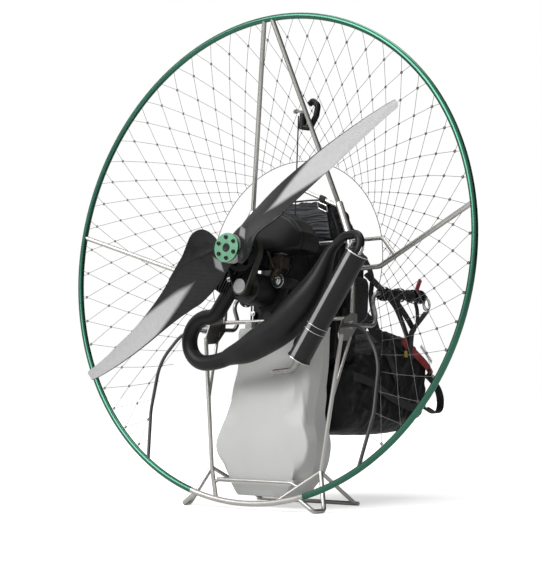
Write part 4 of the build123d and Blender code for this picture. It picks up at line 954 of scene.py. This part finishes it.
def side_straps(side):
    """Webbing, red strap and small parts sewn on one side of the harness."""
    label = "right" if side > 0 else "left"

    def place(*points):
        return mm(*points) * (side, 1, 1)

    webs = [
        strap(place((168, 205, 60), (172, 290, 30), (168, 352, -20), (170, 350, -90), (186, 372, -190),
                    (197, 420, -260), (199, 470, -330)), (0, 0.75, 0.5), 0.025, 0.0022),
        strap(place((164, 208, -150), (174, 260, -155), (174, 320, -150), (186, 360, -190),
                    (198, 420, -215)), (0, 0.1, 1), 0.038, 0.0026),
        strap(place((196, 230, -330), (199, 330, -345), (200, 440, -380), (199, 560, -400),
                    (192, 650, -385)), (0, 0.1, 1), 0.025, 0.0022),
        strap(place((150, 345, -10), (196, 372, -62), (208, 420, -98), (204, 470, -140), (198, 520, -190),
                    (199, 560, -250)), (0, 0.6, 0.6), 0.025, 0.0022),
        strap(place((190, 350, -70), (205, 390, -72), (212, 440, -100), (206, 500, -130), (200, 560, -168)),
              (0.2, 0.1, 1), 0.022, 0.0022),
        strap(place((196, 640, -292), (204, 682, -318), (206, 712, -352), (206, 716, -392),
                    (204, 690, -410), (198, 640, -396)), (1, 0.1, 0.1), 0.026, 0.0024),
    ]
    piece(f"harness_webbing_{label}", joined(webs), webbing, levels=1)
    red = strap(place((196, 500, -196), (199, 520, -214), (201, 575, -238), (200, 635, -264),
                      (192, 684, -290)), (0, 0.45, 1), 0.027, 0.0026)
    piece(f"red_strap_{label}", red, red_webbing, levels=1)
    zigzag = np.linspace(0, 1, 27)
    start, end = place((197, 598, -206), (193, 676, -250))
    middle = start + (end - start) * zigzag[:, None]
    lace = middle + np.where(np.arange(27) % 2, 0.0065, -0.0065)[:, None] * np.array([0, 0.49, 0.87])
    lace[:, 0] = side * 0.199 - side * 0.004 * zigzag
    piece(f"pocket_lacing_{label}", tube(lace, 0.0011, 6), pale_thread)
    tag = block(place((199, 512, -240))[0], (0.0022, 0.008, 0.010), 0.3)
    piece(f"yellow_tag_{label}", tag, yellow_fabric)
    buckles = [buckle(place((199, 398, -214))[0], (0, 1, -0.3), (0, 0.3, 1), 0.02, 0.034, 0.0024),
               buckle(place((202, 470, -352))[0], (0, 1, -0.3), (0, 0.3, 1), 0.018, 0.032, 0.0024),
               buckle(place((203, 648, -291))[0], (0, 1, -0.6), (0, 0.6, 1), 0.016, 0.030, 0.0024)]
    piece(f"harness_buckles_{label}", joined(buckles), black_plastic)
    verts, faces = block(place((170, 272, -118))[0], (0.016, 0.046, 0.085), 0.35, 20, 40)
    lumps = 0.003 * (crumple(verts, 21, 0.02) - 0.4)
    padding = piece(f"hip_pad_{label}", (verts + vertex_normals(verts, faces) * lumps[:, None], faces),
                    mesh_fabric, levels=1)


def buckle(centre, first, second, width, length, wire):
    """Rectangular webbing buckle: a round bar bent along a rounded oblong."""
    first, second = unit(first), unit(second)
    v = full_turn(40)
    across = squared(np.cos(v), 0.25) * width / 2
    along = squared(np.sin(v), 0.25) * length / 2
    path = np.asarray(centre, float) + across[:, None] * first + along[:, None] * second
    return tube(path, wire, 8, closed=True, reference=np.cross(first, second))


COVER_ROWS, COVER_SIDES = 120, 36
BARE_ARM_R, ARM_BAND_R = 0.0075, 0.0205
ARM_BANDS = ((0.10, 0.012), (0.46, 0.010), (0.80, 0.016), (0.93, 0.008))


def make_arm_cover(side):
    """Fabric wrapped on a swing arm: a crumpled tube whose radius wanders about 16 mm, with tie bands, a red
    pull tab and its keepers, all riding on the arm."""
    label = "right" if side > 0 else "left"
    body = f"arm_{label}"
    along = np.linspace(0, 1, COVER_ROWS)
    path = mm((256, 262, -87.7)) + mm((0, 242, 19.97)) * along[:, None]
    path = path * (side, 1, 1)
    swell = 0.0155 + 0.0022 * np.sin(along * 21) + 0.0018 * np.sin(along * 47 + 1)
    ends = np.sqrt(np.clip(np.minimum(along, 1 - along) / 0.03, 0, 1))
    verts, faces = tube(path, BARE_ARM_R + (swell - BARE_ARM_R) * ends, COVER_SIDES)
    rolled = 0.007 * (crumple(verts * (1, 0.7, 1), 31, 0.03) - 0.35) * np.repeat(ends, COVER_SIDES)
    spoke = unit(verts - np.repeat(path, COVER_SIDES, axis=0))
    piece(f"arm_cover_{label}", (verts + spoke * rolled[:, None], faces), nylon, body,
          (f"arm_sleeve_{label}",), levels=1)
    turn = full_turn(40)[:, None]
    ring = ARM_BAND_R * (np.cos(turn) * (1, 0, 0) + np.sin(turn) * (0, -0.08, 1))
    bands = [band(path[int(at * (COVER_ROWS - 1))] + ring, (0, 1, 0.08), width, 0.0016)
             for at, width in ARM_BANDS]
    piece(f"arm_bands_{label}", joined(bands), webbing, body)
    tab = smooth_path(mm((256, 470, -58), (256, 472, -46), (257, 480, -28), (258, 486, -16)) * (side, 1, 1),
                      30)
    pull = strap(tab, (0, 1, 0.3), 0.015, 0.007, 30)
    piece(f"red_pull_{label}", pull, red_webbing, body, levels=1)
    stub = block(mm((256, 471, -60))[0] * (side, 1, 1), (0.008, 0.012, 0.010), 0.4)
    loose = strap(mm((262, 452, -88), (264, 462, -112), (262, 470, -140), (260, 474, -158)) * (side, 1, 1),
                  (0.2, 1, 0), 0.016, 0.002)
    piece(f"arm_keepers_{label}", joined([stub, loose]), webbing, body, levels=1)


def band(path, across, width, thickness):
    """Flat closed band: an oblong section carried round a ring, wide along a fixed direction."""
    across = unit(np.asarray(across, float))
    outward = unit(path - path.mean(0))
    corners = np.array([(-1, -1), (1, -1), (1, 1), (-1, 1)]) / 2
    verts = (path[:, None] + corners[None, :, :1] * width * across
             + corners[None, :, 1:] * thickness * outward[:, None])
    return verts.reshape(-1, 3), grid_faces(len(path), 4, wrap_rows=True).tolist()


def make_shoulder_details():
    """Light buckle and webbing where the pad hangs on the top brace, and piping round its rear edge."""
    lean_way = unit((146, 0, -66))
    piece("brace_buckle", buckle(mm((103, 171, 166))[0], lean_way, (0, -0.35, 0.94), 0.038, 0.020, 0.0022),
          bright_steel)
    loops = [strap(mm((x, 196, z - 30), (x, 184, z - 14), (x, 169, z + 2), (x, 176, z + 16),
                      (x, 192, z + 6), (x, 204, z - 6)), (1, 0, -0.45 * np.sign(x)), 0.020, 0.002)
             for x, z in ((101, 184), (-101, 184))]
    piece("brace_loops", joined(loops), webbing, levels=1)
    rim = smooth_path(mm((-156, 189, -280), (-158, 188, -100), (-157, 188, 60), (-132, 188, 140),
                         (-104, 190, 186),
                         (0, 190, 194), (104, 190, 186), (132, 188, 140), (157, 188, 60), (158, 188, -100),
                         (156, 189, -280)), 200)
    piece("back_piping", tube(rim, 0.0028, 8), webbing)


make_back()
make_seat()
make_shoulder_details()
for hand in (1, -1):
    side_straps(hand)
    make_arm_cover(hand)

# --- engine, exhaust and drive details -----------------------------------------------------------
BAND_AT, BAND_HALF = 0.238, 0.0085


def ring_on_silencer(distance, radius, wire):
    """Round wire ring square to the silencer's axis, at a distance from its top end."""
    turn = full_turn(72)[:, None]
    centre = SILENCER_TOP + SILENCER_WAY * distance
    path = centre + radius * (np.cos(turn) * SILENCER_SIDE + np.sin(turn) * np.array([0, 1, 0]))
    return tube(path, wire, 8, closed=True, reference=SILENCER_WAY)


SPRING_R, SPRING_WIRE, SPRING_TURNS, SPRING_HOOK = 0.0042, 0.00085, 11, 0.008


def spring(start, end):
    """Tension spring: a helix cos and sin of the turns, with a straight hook at each end."""
    start, end = np.asarray(start, float), np.asarray(end, float)
    way = unit(end - start)
    across = unit(np.cross(way, (0.13, 0.97, 0.21)))
    over = np.cross(way, across)
    inner = np.linalg.norm(end - start) - 2 * SPRING_HOOK
    t = np.linspace(0, 1, SPRING_TURNS * 14)[:, None]
    swell = SPRING_R * np.clip(np.minimum(t, 1 - t) / 0.04, 0, 1)
    turn = 2 * np.pi * SPRING_TURNS * t
    coil = start + way * (SPRING_HOOK + inner * t) + swell * (np.cos(turn) * across + np.sin(turn) * over)
    return tube(np.concatenate([start[None], coil, end[None]]), SPRING_WIRE, 6)


HEAD_HEIGHT, WASHER_SHARE = 0.005, 1.45


def bolt(place, axis, radius):
    """Hexagon bolt head on a round washer."""
    washer = [(-0.0005, radius * WASHER_SHARE), (0.0012, radius * WASHER_SHARE), (0.0014, radius * 0.8)]
    head = [(0.001, radius), (HEAD_HEIGHT, radius), (HEAD_HEIGHT + 0.0008, radius * 0.8)]
    return joined([turned(washer, place, axis, 32), turned(head, place, axis, 6)])


def make_exhaust_details():
    """Silencer band of two bright rings and a clamp, end rings, and springs at the top slip joint."""
    clamp = SILENCER_TOP + SILENCER_WAY * BAND_AT + SILENCER_R * unit(REFLECTION_SIDE + 0.9 * REFLECTION_FRONT)
    reach = SILENCER_WAY * (BAND_HALF + 0.002)
    parts = [ring_on_silencer(BAND_AT - BAND_HALF, SILENCER_R + 0.0004, 0.0012),
             ring_on_silencer(BAND_AT + BAND_HALF, SILENCER_R + 0.0004, 0.0012),
             bars([clamp - reach], [clamp + reach], 0.0016, 10)]
    piece("silencer_clamp", joined(parts), bright_steel, replaces=("silencer_band",))
    length = np.linalg.norm(SILENCER_END - SILENCER_TOP)
    rims = [ring_on_silencer(at, SILENCER_R + 0.0012, 0.0021) for at in (0.002, length - 0.002)]
    piece("silencer_rims", joined(rims), bright_steel)
    springs = []
    for side in (-1, 1):
        off = side * 0.021 * SILENCER_SIDE + np.array([0, -0.016, 0])
        springs.append(spring(SILENCER_TOP - SILENCER_WAY * 0.030 + off * 0.9,
                              SILENCER_TOP + SILENCER_WAY * 0.008 + off))
    piece("exhaust_springs", joined(springs), bright_steel)


ENGINE_BOLTS = (((67, 14, -76), 0.0085), ((29, -43, -176), 0.0055), ((-64, -44, -74), 0.005))


def make_engine_details():
    """Bolts, a mount's boss, the fuel hose, the intake and a ribbed carburettor top round the engine."""
    heads = [bolt(mm(place)[0], REARWARD, radius) for place, radius in ENGINE_BOLTS]
    turn = full_turn(60)[:, None]
    seat = mm((67, 17, -76)) + 0.0195 * (np.cos(turn) * (1, 0, 0) + np.sin(turn) * np.array([0, 0, 1.0]))
    heads.append(tube(seat, 0.0014, 8, closed=True, reference=(0, 1, 0)))
    piece("engine_bolts", joined(heads), bright_alloy)
    piece("mount_boss", turned(mm((-40, 17), (-6, 19), (0, 19.5), (2, 17), (2, 12))[:, :2],
                               mm((67, 16, -76))[0], REARWARD, 48), rubber)
    hose = smooth_path(mm((34, 6, 26), (36, 0, 16), (44, 2, -4), (52, 8, -30), (54, 22, -42)), 50)
    piece("fuel_hose", tube(hose, 0.0034, 14), belt_rubber)
    pleats = [block(mm((-2, 34, -28 + 7 * index))[0], (0.034, 0.026, 0.0026), 0.35) for index in range(6)]
    pleats.append(block(mm((-2, 34, -12))[0], (0.028, 0.021, 0.026), 0.3))
    piece("intake_manifold", joined(pleats), black_alloy)
    top = [block(mm((50, 36, 5.5))[0], (0.024, 0.018, 0.0022), 0.25)]
    top += [block(mm((50, 22 + 5.6 * index, 8.2))[0], (0.022, 0.0016, 0.0016), 0.4) for index in range(6)]
    piece("carburettor_top", joined(top), pulley_alloy)


make_propeller()
make_exhaust_details()
make_engine_details()

# --- stage, lights and camera ------------------------------------------------------------------
LAMPS = (("key", (-1.2, -3.6, 3.2), 2.8, 150), ("top", (0.2, 0.6, 4.2), 2.2, 45))
LAMP_TARGET = (0, 0, 0.7)
CAMERA_FROM_HOOP = np.array([2.408, -3.118, -0.385])
CAMERA_TILT, CAMERA_TURN, LENS_LENGTH = 4.42, 37.09, 87.0
FLOOR_REACH = 30.0


def make_stage():
    """Wide pale floor that keeps the object's soft shadow: its glow to the camera grows with the distance
    from the machine, so that it meets the surround without an edge."""
    made = Finish("studio_floor", Roughness=0.9)
    made.shader.inputs["Base Color"].default_value = (0.86, 0.86, 0.86, 1)
    path = made.add("LightPath")
    away = made.add("VectorMath", {0: made.coordinates}, operation="LENGTH")
    level = made.add("MapRange", {"Value": away.outputs["Value"]},
                     {"From Min": 0.5, "From Max": 3.0, "To Min": 0.52, "To Max": 1.0})
    switched = made.math("MULTIPLY", path.outputs["Is Camera Ray"], level.outputs[0])
    glow = made.add("Emission", {"Strength": switched}, {"Color": (1, 1, 1, 1)})
    total = made.add("AddShader", {0: made.shader.outputs[0], 1: glow.outputs[0]})
    made.tree.links.new(total.outputs[0], made.tree.nodes["Material Output"].inputs["Surface"])
    mesh = bpy.data.meshes.new("floor")
    corners = [(x * FLOOR_REACH, y * FLOOR_REACH, 0) for x, y in ((-1, -1), (1, -1), (1, 1), (-1, 1))]
    mesh.from_pydata(corners, [], [(0, 1, 2, 3)])
    mesh.materials.append(made.material)
    floor = placed("floor", mesh)


def make_world():
    """Pale studio surround: white to the camera; as light and in reflections it is brightest towards the
    key lamp and falls off to a low level behind the machine, by the cosine to the key's direction."""
    world = bpy.data.worlds.new("studio")
    bpy.context.scene.world = world
    world.use_nodes = True
    tree = world.node_tree
    node = Nodes(tree).add
    path = node("LightPath")
    place = node("TexCoord")
    facing = node("VectorMath", {0: place.outputs["Object"]}, {1: tuple(unit(KEY_SIDE))},
                  operation="DOT_PRODUCT")
    lit = node("MapRange", {"Value": facing.outputs["Value"]},
               {"From Min": -0.75, "From Max": 0.85, "To Min": 0.14, "To Max": 0.50})
    mirrored = node("MapRange", {"Value": facing.outputs["Value"]},
                    {"From Min": -0.30, "From Max": 0.80, "To Min": 0.04, "To Max": 0.85},
                    interpolation_type="SMOOTHSTEP")
    sharp = node("Math", {0: path.outputs["Is Glossy Ray"], 1: path.outputs["Is Transmission Ray"]},
                 operation="MAXIMUM")
    light = node("Mix", {0: sharp.outputs[0], 2: lit.outputs[0], 3: mirrored.outputs[0]}, data_type="FLOAT")
    seen = node("Mix", {0: path.outputs["Is Camera Ray"], 2: light.outputs[0]}, {3: 1.0}, data_type="FLOAT")
    back = tree.nodes["Background"]
    back.inputs["Color"].default_value = (1, 1, 1, 1)
    tree.links.new(seen.outputs[0], back.inputs["Strength"])


def area_light(name, place, target, size, power):
    """Square soft lamp at a place, turned towards a target."""
    lamp = bpy.data.lights.new(name, "AREA")
    lamp.size = size
    lamp.energy = power
    holder = placed(name, lamp)
    holder.location = place
    direction = np.array(target, float) - np.array(place, float)
    yaw = math.atan2(-direction[0], direction[1])
    pitch = math.atan2(direction[2], math.hypot(direction[0], direction[1]))
    holder.rotation_euler = (math.pi / 2 + pitch, 0, yaw)


def make_camera():
    """Long lens low behind the machine and to its right, tilted up a little."""
    lens = bpy.data.cameras.new("camera")
    lens.lens = LENS_LENGTH
    lens.clip_end = 200.0
    camera = placed("camera", lens)
    camera.location = HOOP_CENTRE + CAMERA_FROM_HOOP
    camera.rotation_euler = (math.radians(90 + CAMERA_TILT), 0, math.radians(CAMERA_TURN))
    bpy.context.scene.camera = camera


make_stage()
make_world()
for name, place, size, power in LAMPS:
    area_light(name, place, LAMP_TARGET, size, power)
make_camera()
bpy.context.scene.view_settings.view_transform = "Standard"
